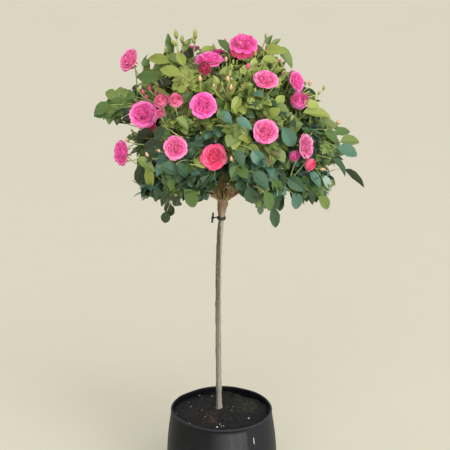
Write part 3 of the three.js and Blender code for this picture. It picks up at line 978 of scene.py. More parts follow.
def make_stem(stem):
    bm = bmesh.new()
    for rings in stem_tubes(stem):
        points, faces = ringed(rings)
        verts = [bm.verts.new(p) for p in points]
        for face in faces:
            bm.faces.new([verts[i] for i in face])
    for place, radius, tall, detail in stem_lumps():
        lump = Matrix.Translation(place) @ Matrix.Diagonal((1, 1, tall, 1))
        bmesh.ops.create_icosphere(bm, subdivisions=detail, radius=radius, matrix=lump)
    mesh = bpy.data.meshes.new("stem_bark")
    bm.to_mesh(mesh)
    bm.free()
    obj = new_object("stem_bark", mesh)
    melt_together(obj, stem.grain * (1.0))
    roughen(obj.data, stem.relief)
    obj.data.shade_smooth()
    obj.data.update()
    obj.data.materials.clear()
    obj.data.materials.append(rose_bark(stem))
    return obj


# ---- tie


# the strap's section, out from the stem and up
TIE_SECTION = (
    (0.0, -0.0037), (0.0019, -0.004), (0.0024, -0.003), (0.0025, 0.0),
    (0.0024, 0.003), (0.0019, 0.004), (0.0, 0.0037), (-0.0002, 0.0),
)
TIE_SIDES = 72
# radii along the neck between stem and crossing, and along each cut end
TIE_NECK = (0.0021, 0.0018, 0.0016, 0.0017, 0.002, 0.0018, 0.0016, 0.0018, 0.0022, 0.0024)
TIE_END = (0.0036, 0.0038, 0.0033, 0.0028, 0.0026, 0.0027, 0.0029, 0.003, 0.0029, 0.0024)


def make_tie():
    """A soft strap round the stem, crossed once beside it, with two cut ends."""
    low, high = (Vector(c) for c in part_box("stem_tie"))
    z = (low.z + high.z) / 2
    centre, radius = stem_at(z)
    centre = Vector(centre)
    inner = radius + 0.0014
    rings = []
    for s in range(TIE_SIDES):
        a = 2 * pi * s / TIE_SIDES
        dip = 0.0008 * sin(2 * a + 0.6)
        rings.append([centre + around(a, inner + r, h + dip) for r, h in TIE_SECTION])
    points, faces = ringed(rings + [rings[0]], closed_ends=False)
    knot_x = low.x + 0.0036
    start = centre.x - inner - 0.001
    path = []
    for t in np.linspace(0, 1, len(TIE_NECK)):
        x = start + (knot_x - start) * t
        path.append(Vector((x, centre.y + 0.0006 * sin(9 * t), z + 0.001 * sin(5 * t))))
    neck = tube(path, TIE_NECK, 10)
    ends = []
    for side, tip in ((1, high.z), (-1, low.z)):
        path = []
        for t in np.linspace(0, 1, len(TIE_END)):
            x = knot_x + 0.0012 * sin(2.5 * t) * side
            path.append(Vector((x, centre.y + 0.0007 * side, z + (tip - z) * t)))
        ends.append(tube(path, TIE_END, 10))
    for rings in [neck, *ends]:
        more, more_faces = ringed(rings)
        faces += [tuple(i + len(points) for i in f) for f in more_faces]
        points += more
    return closed_object("tie_strap", points, faces, tie_rubber())


# ---- crown: shape


# radius and lowest height of the open space over the stem's head
HEAD_SPACE, HEAD_LEVEL = 0.085, 0.906
# how far out shoots grow freely: 0 at the crown's centre, 1 at its outline
FREE_SPREAD = 0.86


class CrownShape:
    """The crown's solid outline, from the frame's foliage masses."""

    def __init__(self):
        points, faces = [], []
        self.boxes = []
        for name in sorted(FOLIAGE_NODES):
            mesh = frame["nodes"][name].data
            base = len(points)
            points += [v.co.copy() for v in mesh.vertices]
            faces += [tuple(base + i for i in p.vertices) for p in mesh.polygons]
            self.boxes.append((name, *(Vector(c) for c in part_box(name))))
        self.surface = BVHTree.FromPolygons(points, faces)
        self.head = stem_line()[-1][0]
        body = [box for box in self.boxes if box[0].startswith("foliage")]
        self.low = Vector([min(box[1][k] for box in body) for k in range(3)])
        self.high = Vector([max(box[2][k] for box in body) for k in range(3)])
        self.centre = (self.low + self.high) / 2

    def outside(self, point):
        """Distance out of the crown, below zero inside it. The open space over the head counts as crown."""
        near, normal, _, distance = self.surface.find_nearest(point)
        if (point - near).dot(normal) <= 0:
            return -distance
        if point.z > HEAD_LEVEL + 0.03 and self.spread(point) < FREE_SPREAD:
            return -0.004
        over_head = (point.xy - self.head.xy).length < HEAD_SPACE
        return min(distance, HEAD_LEVEL - point.z) if over_head and point.z < 1.0 else distance

    def spread(self, point):
        """How far out a point lies: 0 at the crown's centre, 1 at its outline."""
        half = (self.high - self.low) / 2
        away = point - self.centre
        return sqrt(sum((away[k] / half[k]) ** 2 for k in range(3)))

    def outline(self, out):
        """Where a line from afar towards the crown's centre meets it, and the surface's normal there."""
        return self.surface.ray_cast(self.centre + out * 0.6, -out)[:2]

    def seen_from_front(self, stage, x, z):
        """First point of the crown on the line of sight through a place in the stem's plane."""
        eye = Vector((stage.aside, -stage.distance, stage.height))
        target = Vector((x * MM, 0.0, z * MM))
        aim = (target - eye).normalized()
        hit = self.surface.ray_cast(eye, aim)[0]
        if hit is None:
            near = self.surface.find_nearest(target)[0]
            hit = eye + aim * (near - eye).dot(aim)
        return hit, aim


@lru_cache(maxsize=1)
def crown_shape():
    return CrownShape()


def facing(turn, rise):
    """Unit vector of a direction in degrees: turn 0 faces the front, 90 the right, and rise goes up."""
    turn, rise = radians(turn), radians(rise)
    return Vector((sin(turn) * cos(rise), -cos(turn) * cos(rise), sin(rise)))


def jitter(rand, reach):
    """A random vector, with each part up to a reach either way."""
    return Vector([rand.uniform(-reach, reach) for _ in range(3)])


def search_tree(places):
    """A tree that finds the nearest of places, each given with its number."""
    tree = kdtree.KDTree(len(places))
    for number, place in places:
        tree.insert(place, number)
    tree.balance()
    return tree


# ---- crown: what grows

# Flowers that face the front: place in the stem's plane in millimetres, turn and rise in degrees, width in
# millimetres, form, tint.
FRONT_FLOWERS = (
    # the crest and the upper half
    (57, 1324, 0, 58, 76, "blown", "crest"), (-242, 1277, -50, 30, 70, "open", "pink"),
    (-32, 1282, 0, 76, 78, "open", "magenta"), (-44, 1254, -10, 4, 40, "cup", "crimson"),
    (116, 1228, 12, 55, 68, "open", "pink"),
    # right shoulder and upper middle
    # the cup with the lightened magenta tint carries painted light
    (199, 1220, 54, 18, 62, "open", "magenta"), (202, 1167, 6, 40, 60, "cup", "vivid"),
    (-47, 1156, 4, 17, 72, "open", "magenta"),
    # left side
    # the flowers with lightened tints here carry painted light, for they lie in shade
    (-204, 1134, -2, 28, 80, "open", "vivid"), (-157, 1168, -14, 44, 46, "cup", "blush"),
    (-119, 1168, 8, 44, 46, "cup", "blush"), (-159, 1134, 5, 20, 28, "cup", "blush"),
    (-270, 1028, -56, 6, 74, "open", "magenta"),
    # lower half
    (-123, 1043, -2, 17, 66, "open", "pink"), (-20, 1017, 0, 9, 72, "open", "coral"),
    (117, 1087, 5, 17, 68, "open", "pink"), (228, 1047, 58, 14, 70, "open", "faded"),
    (193, 1020, 25, -8, 36, "cup", "magenta"), (236, 997, 40, -12, 42, "cup", "coral"),
    (-190, 1101, -40, -30, 52, "open", "coral"),
)
# Buds that show at the front: place, turn, rise, length in millimetres, tint.
FRONT_BUDS = (
    # over the upper left
    (-116, 1340, -15, 70, 24, "green"), (-101, 1328, 10, 65, 21, "green"), (-92, 1318, 30, 40, 20, "green"),
    (-122, 1318, -50, 45, 22, "green"), (-67, 1340, 0, 85, 24, "green"), (-72, 1325, -40, 60, 19, "green"),
    (-142, 1300, -10, 75, 20, "green"),
    # upper middle and crest
    (69, 1257, 5, 60, 20, "pink"), (25, 1202, 0, 70, 20, "peach"), (17, 1225, -10, 60, 18, "peach"),
    (-55, 1225, -5, 70, 18, "peach"), (12, 1275, 0, 80, 16, "peach"), (25, 1257, 10, 70, 15, "green"),
    (50, 1316, -20, 40, 17, "peach"),
    # right side
    (114, 1336, 15, 75, 15, "green"), (125, 1316, 30, 65, 13, "green"), (183, 1241, 20, 55, 17, "pink"),
    (266, 1202, 15, 75, 14, "green"), (254, 1189, -10, 70, 12, "green"), (306, 1110, 50, 45, 17, "peach"),
    (267, 984, 60, 5, 16, "peach"),
    # left side and middle
    (-248, 1063, -30, 50, 16, "peach"), (-253, 1006, -60, 5, 15, "peach"),
    (-165, 1034, -20, 40, 13, "peach"), (-204, 1191, -20, 60, 18, "pink"), (-186, 1199, 0, 70, 19, "pink"),
    (-170, 1189, 10, 60, 17, "pink"), (-194, 1178, -10, 45, 16, "pink"), (43, 1181, 10, 60, 13, "green"),
    (2, 1212, -20, 60, 13, "green"),
)
# Large leaflets that show at the front: places of base and tip, width in millimetres, tint. A width of 0 is a
# whole compound leaf.
FRONT_LEAFLETS = (
    # spray at the left
    (-234, 1152, -339, 1138, 0, "mid"), (-230, 1173, -305, 1189, 0, "olive"),
    (-237, 1138, -305, 1122, 0, "dusky"), (-291, 1157, -341, 1138, 34, "mid"),
    (-244, 1162, -304, 1157, 32, "mid"), (-237, 1138, -300, 1128, 29, "dusky"),
    (-224, 1122, -269, 1114, 24, "dusky"), (-248, 1181, -295, 1178, 29, "olive"),
    (-265, 1149, -318, 1125, 29, "olive"), (-222, 1178, -274, 1191, 29, "mid"),
    # spray at the right
    (313, 1058, 370, 1066, 32, "olive"), (305, 1042, 369, 1025, 34, "teal"),
    (296, 1082, 343, 1093, 26, "mid"), (290, 1012, 345, 971, 21, "blue"), (326, 984, 389, 937, 21, "dusky"),
    # lower right
    (265, 965, 306, 921, 24, "silver"), (235, 976, 268, 937, 24, "teal"), (258, 910, 297, 870, 29, "olive"),
    (231, 926, 259, 887, 26, "deep"), (189, 918, 216, 868, 37, "teal"), (177, 960, 223, 924, 34, "blue"),
    (135, 954, 167, 915, 29, "mid"), (159, 1098, 200, 1039, 37, "teal"), (169, 1120, 204, 1098, 24, "deep"),
    (81, 1036, 118, 987, 32, "teal"), (71, 937, 95, 879, 37, "blue"), (84, 976, 127, 935, 32, "blue"),
    (114, 921, 144, 862, 32, "mid"), (149, 910, 133, 862, 26, "blue"), (165, 915, 149, 859, 24, "deep"),
    (136, 879, 153, 811, 29, "blue"),
    # lower left
    (-100, 929, -61, 873, 37, "mid"), (-161, 995, -108, 973, 32, "blue"), (-121, 998, -81, 962, 29, "blue"),
    (-192, 995, -191, 924, 26, "light"), (-206, 1001, -229, 929, 29, "deep"),
    (-224, 1015, -177, 984, 26, "olive"), (-138, 924, -163, 885, 29, "deep"),
    (-116, 926, -130, 879, 26, "dusky"), (-136, 890, -152, 856, 26, "dusky"),
    (-147, 868, -155, 828, 26, "deep"), (-175, 940, -162, 893, 24, "blue"),
    (-125, 901, -112, 873, 24, "dusky"), (-143, 904, -171, 882, 24, "deep"),
    (-130, 882, -144, 851, 24, "dusky"), (-111, 910, -133, 882, 24, "deep"),
    # crest and upper left
    (117, 1313, 127, 1339, 16, "mid"), (130, 1311, 150, 1331, 16, "olive"),
    (-205, 1259, -184, 1280, 19, "mid"), (-133, 1269, -194, 1285, 29, "yellow"),
    (-127, 1280, -179, 1254, 26, "olive"), (-105, 1238, -164, 1257, 29, "yellow"),
    (-107, 1269, -142, 1295, 26, "olive"), (-159, 1225, -226, 1236, 32, "mid"),
    (-128, 1212, -185, 1218, 29, "dusky"), (-97, 1259, -112, 1300, 24, "yellow"),
    (-127, 1290, -139, 1339, 24, "mid"), (-99, 1295, -80, 1334, 19, "olive"),
    (17, 1295, -6, 1334, 24, "mid"), (-52, 1295, -11, 1311, 21, "yellow"),
    (-76, 1280, -96, 1316, 24, "dusky"),
    # upper right and right shoulder
    (112, 1300, 166, 1300, 29, "yellow"), (143, 1306, 190, 1259, 32, "olive"),
    (105, 1275, 151, 1280, 24, "yellow"), (213, 1136, 294, 1136, 34, "yellow"),
    (245, 1117, 317, 1096, 29, "olive"), (213, 1160, 262, 1160, 24, "light"),
    (275, 1090, 307, 1058, 24, "mid"),
    # middle
    (-6, 1138, 28, 1112, 29, "teal"), (41, 1122, 80, 1098, 24, "teal"), (48, 1181, 28, 1138, 24, "yellow"),
    (106, 1178, 79, 1197, 24, "teal"), (28, 1096, 1, 1058, 24, "deep"), (1, 1181, 33, 1207, 24, "olive"),
    (38, 1036, 60, 993, 26, "blue"), (-36, 965, -68, 926, 24, "deep"), (-119, 1122, -83, 1096, 24, "olive"),
    (-162, 1090, -125, 1063, 24, "mid"),
    # left side, deep in the crown
    (-162, 1061, -221, 1036, 29, "dusky"), (-168, 1031, -216, 1006, 29, "deep"),
    (-180, 1088, -233, 1069, 26, "dusky"), (-146, 1096, -188, 1066, 29, "deep"),
)
TWIG_KINDS = ("woody", "straw", "ruddy", "green", "straw")
# height over which the head's twigs may carry a leaf, length of a step along a stalk, most steps of growth
HEAD_LEAVES = 0.93
STALK_STEP = 0.012
MOST_STEPS = 70
# highest place for the tip of a leaf, and lowest and highest place of the young shoots
CREST = 1.325
YOUNG_LOW, YOUNG_HIGH = 0.93, 1.3
# where the back begins behind the stem, and the lowest place of its flowers and buds
BACK, BACK_LOW = 0.03, 0.95
# distances that the flowers at the back keep from each other, and their buds from flowers
FLOWER_GAP, BUD_GAP = 0.098, 0.035
# thickest that a shoot may grow, and how the sections of branches add up
THICKEST, ADDING_UP = 0.0046, 2.35
# places along a leaf and beside it, as shares of its length, where its room is tested. The first four are its
# outline.
LEAF_PLACES = ((1, 0), (0.6, 0.36), (0.6, -0.36), (0.8, 0), (0.45, 0), (0.4, 0.24), (0.4, -0.24))
# kinds of leaf from low in the crown to its top, with the share of the height that each group ends at
LEAF_MIX = (
    (0.14, ("deep", "blue", "blue", "teal")),
    (0.4, ("blue", "teal", "mid", "deep", "blue")),
    (0.62, ("mid", "mid", "teal", "olive", "blue")),
    (0.85, ("olive", "mid", "yellow", "olive")),
    (inf, ("yellow", "light", "olive", "yellow", "olive", "yellow", "ruddy")),
)


class Crown:
    """What grows: shoots from the boughs into the crown's free space, then flowers, buds and leaves."""

    def __init__(self, settings):
        self.crown, self.flower, self.stage = settings.crown, settings.flower, settings.stage
        self.shape = crown_shape()
        self.random = random.Random(self.crown.seed)
        self.points, self.parents, self.kinds, self.bare = [], [], [], set()
        self.flowers, self.buds, self.leaves, self.leaflets = [], [], [], []
        self.start_boughs()
        self.spread_shoots()
        self.place_front_flowers()
        self.place_back_flowers()
        self.place_buds()
        self.place_young_shoots()
        self.place_front_leaflets()
        self.thicken()
        self.place_leaves()
        self.drop_bare_ends()

    # ---- shoots

    def add(self, point, parent, kind="shoot"):
        self.points.append(Vector(point))
        self.parents.append(parent)
        self.kinds.append(kind)
        return len(self.points) - 1

    def start_boughs(self):
        """The boughs, and the twigs and leaves that crowd the stem's head."""
        for name in BOUGHS:
            parent = -1
            for t in np.linspace(0.34, 0.72, 7):
                parent = self.add(bough_point(name, t)[0], parent, "bough")
        rand = random.Random(self.crown.seed + 7)
        for number in range(self.crown.head_twigs):
            turn = rand.uniform(-180, 180) * (0.45 if number % 3 else 1.0)
            kind = TWIG_KINDS[number % len(TWIG_KINDS)]
            out = facing(turn, rand.uniform(24, 82))
            if 20 < turn < 90 and number % 2:
                kind, out = "coral", facing(turn, rand.uniform(30, 60))
            p, parent = self.shape.head + out * 0.006 - UP * 0.014, -1
            for _ in range(rand.randint(5, 13)):
                parent = self.add(p, parent, kind)
                run = (out + jitter(rand, 1) * 0.28 + UP * 0.1).normalized()
                p = p + run * self.crown.step * 0.6
            if number % 2 == 0 and p.z > HEAD_LEAVES:
                colour = ("olive", "dusky", "mid", "ruddy")[number // 2 % 4]
                self.add_leaf(p, run, facing(turn, 50), rand.uniform(0.034, 0.055), colour)

    def free_places(self):
        """Random places inside the foliage masses, more of them towards the outline."""
        places, head, rand = [], self.shape.head, self.random
        for _ in range(90):
            turn, out = rand.uniform(0, 2 * pi), HEAD_SPACE * sqrt(rand.random())
            height = HEAD_LEVEL + 0.012 + 0.07 * rand.random()
            places.append(Vector((head.x + out * cos(turn), head.y + out * sin(turn), height)))
        for name, low, high in self.shape.boxes:
            size = high - low
            cells = size.x * size.y * size.z / self.crown.spacing**3
            spray = not name.startswith("foliage")
            for _ in range(int(cells * 2.2) + 12 if spray else int(cells * 1.2)):
                p = Vector([rand.uniform(low[k], high[k]) for k in range(3)])
                if -self.shape.outside(p) < (0.006 if spray else 0.012):
                    continue
                if spray or rand.random() < 0.18 + 0.95 * (self.shape.spread(p) - 0.3):
                    places.append(p)
        return places

    def spread_shoots(self):
        """Grows the shoots towards the free places, each place drawing the nearest shoot to it."""
        crown, shape, free = self.crown, self.shape, self.free_places()
        travel = [UP] * len(self.points)
        for _ in range(MOST_STEPS):
            grown_from = [(i, p) for i, p in enumerate(self.points) if self.kinds[i] not in CANE_TINTS]
            tree = search_tree(grown_from)
            pull, left = {}, []
            for place in free:
                near, index, distance = tree.find(place)
                if distance < crown.spacing * 0.62:
                    continue
                left.append(place)
                if distance < crown.reach:
                    pull.setdefault(index, Vector())
                    pull[index] += (place - near).normalized()
            free, before = left, len(self.points)
            for index, aim in pull.items():
                if aim.length < 1e-3:
                    continue
                wander = jitter(self.random, 1) * 0.16
                run = (aim.normalized() + travel[index] * 0.55 + UP * 0.1 + wander).normalized()
                new = self.points[index] + run * crown.step
                if tree.find(new)[2] < crown.step * 0.55:
                    continue
                if shape.spread(new) > FREE_SPREAD and shape.outside(new) > 0.014:
                    continue
                self.add(new, index)
                travel.append(run)
            if len(self.points) == before:
                break

    def nearest_shoot(self, place, behind, furthest, highest):
        """The best point of a shoot for a stalk to leave from: near, and on the flower's inner side."""
        best, best_cost = None, inf
        for i, p in enumerate(self.points):
            if self.kinds[i] == "stalk" or self.kinds[i] in CANE_TINTS:
                continue
            gap = place - p
            distance = gap.length
            if distance > furthest or distance < 0.012 or p.z > highest:
                continue
            cost = distance * (1.6 - gap.normalized().dot(behind))
            if cost < best_cost:
                best, best_cost = i, cost
        return best

    def add_stalk(self, place, direction, kind="stalk", length=0.11, below=0.05):
        """Grows a stalk to a place, arriving along a direction, from a shoot nearby."""
        inward = (self.shape.centre - UP * below - place).normalized()
        highest = place.z if kind == "stalk" else inf
        behind = -inward * 0.6 + direction * 0.4
        start = self.nearest_shoot(place + inward * length * 0.7, behind, 0.2, highest)
        if start is None:
            start = min(range(len(self.points)), key=lambda i: (self.points[i] - place).length)
        a = self.points[start]
        gap, along = (place - a).length, (place - a).normalized()
        if direction.dot(along) < 0.2:
            direction = (direction + along).normalized()
        arrive = place - direction * gap * 0.38
        leave = a + (place - a) * 0.3 + UP * (gap * 0.12)
        steps, parent = max(3, int(gap / STALK_STEP)), start
        for i in range(1, steps + 1):
            t = i / steps
            s = 1 - t
            p = a * s**3 + leave * 3 * s * s * t + arrive * 3 * s * t * t + place * t**3
            parent = self.add(p, parent, kind)
        return parent

    # ---- flowers and buds

    def add_flower(self, centre, direction, width, form, colour):
        base = centre - direction * width * (0.4 if form == "cup" else 0.2)
        self.add_stalk(base, (direction * 0.45 + UP * 0.75).normalized(), below=0.25)
        eye = Vector((self.stage.aside, -self.stage.distance, self.stage.height))
        flower = {"place": base, "centre": centre, "direction": direction, "width": width}
        self.flowers.append(flower | {"sight": (eye - centre).normalized(), "form": form, "colour": colour})

    def near_flower(self, place, reach):
        return any((place - f["centre"]).length < reach for f in self.flowers)

    def place_front_flowers(self):
        for x, z, turn, rise, width, form, colour in FRONT_FLOWERS:
            hit, aim = self.shape.seen_from_front(self.stage, x, z)
            self.add_flower(hit + aim * 0.004, facing(turn, rise), width * MM, form, colour)

    def place_back_flowers(self):
        """Flowers all round the sides and the back, at least a hand's width apart."""
        rand, wanted, tries = self.random, len(self.flowers) + self.flower.back, 0
        while len(self.flowers) < wanted and tries < 4000:
            tries += 1
            turn, rise = rand.uniform(60, 300), rand.uniform(-22, 80)
            out = facing(turn, rise)
            if out.y < 0.3 and rise < 60:
                continue
            hit, normal = self.shape.outline(out)
            if hit is None or hit.z < BACK_LOW or hit.y < BACK or self.near_flower(hit, FLOWER_GAP):
                continue
            direction = (out * 0.7 + normal * 0.3 + UP * 0.15).normalized()
            form = "open" if rand.random() < 0.74 else "cup"
            width = rand.uniform(0.062, 0.08) if form == "open" else rand.uniform(0.032, 0.044)
            colour = rand.choice(("magenta", "magenta", "pink", "pink", "coral", "faded"))
            self.add_flower(hit - out * 0.004, direction, width, form, colour)

    def add_bud(self, place, direction, size, colour):
        self.buds.append({"place": place, "direction": direction, "width": size, "colour": colour})

    def place_buds(self):
        rand = self.random
        for x, z, turn, rise, size, colour in FRONT_BUDS:
            hit, _ = self.shape.seen_from_front(self.stage, x, z)
            direction = facing(turn, rise)
            place = hit - direction * size * 0.4 * MM
            self.add_stalk(place, direction, length=0.05)
            self.add_bud(place, direction, size * MM, colour)
        for _ in range(self.flower.back_buds):
            out = facing(rand.uniform(60, 300), rand.uniform(-15, 85))
            hit, _ = self.shape.outline(out)
            if hit is None or hit.y < BACK or hit.z < BACK_LOW or self.near_flower(hit, BUD_GAP):
                continue
            direction = (out * 0.5 + UP * 0.7).normalized()
            self.add_stalk(hit, direction, length=0.05)
            colour = rand.choice(("green", "peach", "pink"))
            self.add_bud(hit, direction, rand.uniform(0.013, 0.02), colour)

    # ---- leaves

    def add_leaf(self, place, run, upper, length, colour, width=0.0):
        """A compound leaf, or a single leaflet if it is given a width."""
        leaf = {"place": place, "run": run, "upper": upper, "length": length}
        self.leaves.append(leaf | {"colour": colour, "width": width})

    def place_young_shoots(self):
        """Thin shoots that come out between the leaves, with a pale leaf, a bud or nothing at the tip."""
        rand, shape = self.random, self.shape
        for _ in range(self.crown.young_shoots):
            out = facing(rand.uniform(0, 360), rand.uniform(-18, 85))
            hit, normal = shape.outline(out)
            if hit is None or not YOUNG_LOW < hit.z < YOUNG_HIGH:
                continue
            if abs(hit.x) > 0.27 or shape.spread(hit) > 1.12:
                continue
            choice = rand.random()
            bare = choice >= 0.68
            place = hit + out * rand.uniform(-0.012, 0.0 if bare else 0.01)
            if self.hides_flower([place, place - out * 0.03]) or (bare and hit.z > 1.26):
                continue
            direction = (out * 0.35 + UP * 0.8 + normal * 0.2).normalized()
            self.add_stalk(place, direction, kind="young", length=0.09)
            if choice < 0.5:
                run = (direction + out).normalized()
                reach = rand.uniform(0.045, 0.07)
                tip = place + run * reach
                if shape.outside(tip) < 0.012 and not self.hides_flower([tip]):
                    colour = rand.choice(("light", "yellow", "olive"))
                    if hit.z < 1.24:
                        self.add_leaf(place, run, (UP + out * 0.5).normalized(), reach, colour)
            elif not bare:
                colour = rand.choice(("green", "green", "peach"))
                self.add_bud(place, direction, rand.uniform(0.012, 0.017), colour)
        stalks = [(i, p) for i, p in enumerate(self.points) if self.kinds[i] in ("young", "stalk")]
        self.shown = search_tree([(i, p) for i, p in stalks if shape.spread(p) > 0.84])

    def place_front_leaflets(self):
        rand = self.random
        for x0, z0, x1, z1, width, colour in FRONT_LEAFLETS:
            base, base_aim = self.shape.seen_from_front(self.stage, x0, z0)
            tip, tip_aim = self.shape.seen_from_front(self.stage, x1, z1)
            nearest = min(base.y, tip.y) + 0.022
            base += base_aim * (min(0.0, nearest - base.y) / base_aim.y)
            tip += tip_aim * (min(0.0, nearest - tip.y) / tip_aim.y)
            run = tip - base
            upper = facing(rand.uniform(-22, 22), rand.uniform(20, 50))
            self.add_stalk(base, run.normalized(), kind="petiole", length=0.03)
            self.add_leaf(base, run.normalized(), upper, run.length, colour, width * MM)
            self.leaflets.append((base + run * 0.45, width * MM * 0.46))

    def hides_flower(self, samples):
        """Whether a leaf would stand in front of a flower or pass through it."""
        for f in self.flowers:
            near, radius = f["centre"], f["width"] * 0.5
            for p in samples:
                gap = p - near
                if gap.length > 0.2:
                    continue
                if gap.length < radius * 0.9:
                    return True
                ahead = gap.dot(f["direction"])
                if 0 < ahead < 0.1 and (gap - f["direction"] * ahead).length < radius * 0.9:
                    return True
                ahead = gap.dot(f["sight"])
                if near.y < BACK and 0 < ahead < 0.2 and (gap - f["sight"] * ahead).length < radius * 1.05:
                    return True
        return False

    def crosses_leaflet(self, samples):
        """Whether a leaf would pass through one of the large leaflets."""
        return any((p - near).length < reach for near, reach in self.leaflets for p in samples)

    def hides_head(self, point):
        """Whether a point would hide the twigs over the stem's head, or touch them."""
        over = point - self.shape.head
        if over.xy.length < 0.03 and over.z < 0.03:
            return True
        # seen from the front, the twigs stand under an arch over the head
        nearer = self.stage.distance / (self.stage.distance + point.y)
        seen_x = self.stage.aside + (point.x - self.stage.aside) * nearer - self.shape.head.x
        seen_z = self.stage.height + (point.z - self.stage.height) * nearer
        arch = 0.922 + 0.045 * smoothstep(abs(seen_x - 0.008), 0.046, 0.0)
        return point.y < 0.035 and -0.03 < seen_x < 0.052 and seen_z < arch

    def hides_stalk(self, samples, chance):
        """Whether a leaf would stand before one of the young shoots that show at the outline."""
        for p in samples:
            for near, _, _ in self.shown.find_range(p, 0.018):
                if (p - near).dot(near - self.shape.centre) > 0:
                    return self.random.random() < chance
        return False

    def leaf_colour(self, place):
        """Deep and bluish low in the crown, yellower towards the top."""
        share_up = (place.z - 0.88) / 0.38 + self.random.gauss(0, 0.2)
        return self.random.choice(next(kinds for limit, kinds in LEAF_MIX if share_up < limit))

    def place_leaves(self):
        crown, shape = self.crown, self.shape
        children = self.children()
        since = {}
        for i, p in enumerate(self.points):
            parent = self.parents[i]
            if parent < 0 or self.kinds[i] in ("bough", "petiole", *CANE_TINTS):
                since[i] = 0.0
                continue
            run = p - self.points[parent]
            since[i] = since.get(parent, 0.0) + run.length
            gap = crown.leaf_gap * (1.0 if self.kinds[i] == "shoot" else 2.2)
            tip = i not in children
            near_head = (p - shape.head).length < 0.1
            if self.girths[i] > 0.0036 or (shape.spread(p) < 0.4 and not near_head):
                continue
            if self.kinds[i] in ("stalk", "young") and tip:
                continue
            wanted = 4 if tip else (1 if since[i] > gap else 0)
            wanted += wanted > 0 and shape.spread(p) > 0.78
            if not wanted:
                continue
            since[i] = 0.0
            for k in range(wanted):
                self.try_leaf(p, run.normalized(), i + k * 3)

    def try_leaf(self, p, run, number):
        crown, shape, rand = self.crown, self.shape, self.random
        out = (p - shape.centre).normalized()
        low = smoothstep(p.z, 1.28, 0.98)
        for attempt in range(6):
            roll = number * 2.4 + rand.uniform(-0.5, 0.5) + attempt * 1.3
            side = Matrix.Rotation(roll, 3, run) @ run.orthogonal().normalized()
            reach = crown.leaf * rand.uniform(0.68, 1.05) * (0.66 + 0.38 * low) * (1 - 0.09 * attempt)
            aim = side * 0.75 + run * 0.35 + out * 0.55 + Vector((0, 0, 0.12 - 0.28 * low))
            aim.normalize()
            upper = out * rand.uniform(0.5, 1.0) + Vector((0, 0, rand.uniform(0.5, 1.0))) + jitter(rand, 0.4)
            upper = (upper - aim * upper.dot(aim)).normalized()
            sideways = aim.cross(upper)
            samples = [p + aim * reach * along + sideways * reach * aside for along, aside in LEAF_PLACES]
            if max(shape.outside(s) for s in samples[:4]) > 0.006 or samples[0].z > CREST:
                continue
            if any(self.hides_head(s) for s in samples) or self.crosses_leaflet(samples):
                continue
            if self.hides_flower(samples) or self.hides_stalk(samples, 0.8):
                continue
            self.add_leaf(p, aim, upper, reach, self.leaf_colour(p))
            return

    # ---- girth and lines

    def thicken(self):
        """Shoot radii from the tips down: the sections of the branches add up."""
        sums = [0.0] * len(self.points)
        self.girths = [0.0] * len(self.points)
        for i in range(len(self.points) - 1, -1, -1):
            slim = {"petiole": 0.6, "young": 1.25, "stalk": 1.3}.get(self.kinds[i], 1.0)
            own = max(sums[i], (self.crown.shoot * slim) ** ADDING_UP)
            self.girths[i] = min(own ** (1 / ADDING_UP), THICKEST)
            if self.parents[i] >= 0:
                sums[self.parents[i]] += own

    def children(self):
        """The points that grow from each point, without the bare ends."""
        children = {}
        for i, parent in enumerate(self.parents):
            if i not in self.bare:
                children.setdefault(parent, []).append(i)
        return children

    def drop_bare_ends(self):
        """Shortens the shoots that reach past every leaf at the outline."""
        places = [leaf["place"] + leaf["run"] * leaf["length"] * 0.5 for leaf in self.leaves]
        places += [piece["place"] for piece in self.buds + self.flowers]
        leaves = search_tree(list(enumerate(places)))
        children = self.children()
        for i in range(len(self.points) - 1, -1, -1):
            p = self.points[i]
            leads_on = any(child not in self.bare for child in children.get(i, []))
            if leads_on or self.kinds[i] not in ("shoot", "young") or self.shape.spread(p) < 0.85:
                continue
            if leaves.find(p)[2] > (0.034 if self.kinds[i] == "shoot" else 0.024):
                self.bare.add(i)

    def lines(self):
        """Chains of points from a fork to a tip, following the thickest branch."""
        children = self.children()
        starts = [(i, None) for i in children.get(-1, [])]
        chains = []
        while starts:
            i, fork = starts.pop()
            chain = [fork] if fork is not None else []
            while True:
                chain.append(i)
                nexts = sorted(children.get(i, []), key=lambda c: -self.girths[c])
                if not nexts:
                    break
                starts += [(c, i) for c in nexts[1:]]
                i = nexts[0]
            chains.append(chain)
        return chains


@lru_cache(maxsize=1)
def grown_crown():
    return Crown(bpy.context.scene.rose)


def cane_lines(crown):
    """The shoots as a mesh of lines with their girth and tint, smoothed between forks."""
    rand = random.Random(5)
    points, edges, girths, tints = [], [], [], []
    names = list(CANE_TINTS)
    for chain in crown.lines():
        places = [crown.points[i].copy() for i in chain]
        sizes = [crown.girths[i] for i in chain]
        if len(chain) > 1:
            sizes[0] = min(sizes[0], sizes[1] * 1.15)
        for _ in range(3):
            places = [
                p if k in (0, len(places) - 1) else (places[k - 1] + p * 2 + places[k + 1]) / 4
                for k, p in enumerate(places)
            ]
        if len(places) < 2:
            continue
        ruddy = rand.random() < 0.2
        base = len(points)
        for k, (p, size) in enumerate(zip(places, sizes)):
            kind = crown.kinds[chain[k]]
            thick = size > 0.003
            pale = kind in ("stalk", "petiole", "young")
            name = "woody" if thick else ("lime" if pale else ("ruddy" if ruddy else "green"))
            name = kind if kind in CANE_TINTS else name
            points.append(p)
            girths.append(size)
            tints.append(names.index(name))
            if k:
                edges.append((base + k - 1, base + k))
    mesh = bpy.data.meshes.new("canes")
    mesh.from_pydata([tuple(p) for p in points], edges, [])
    mesh.attributes.new("girth", "FLOAT", "POINT").data.foreach_set("value", girths)
    mesh.attributes.new("tint", "INT", "POINT").data.foreach_set("value", tints)
    return mesh


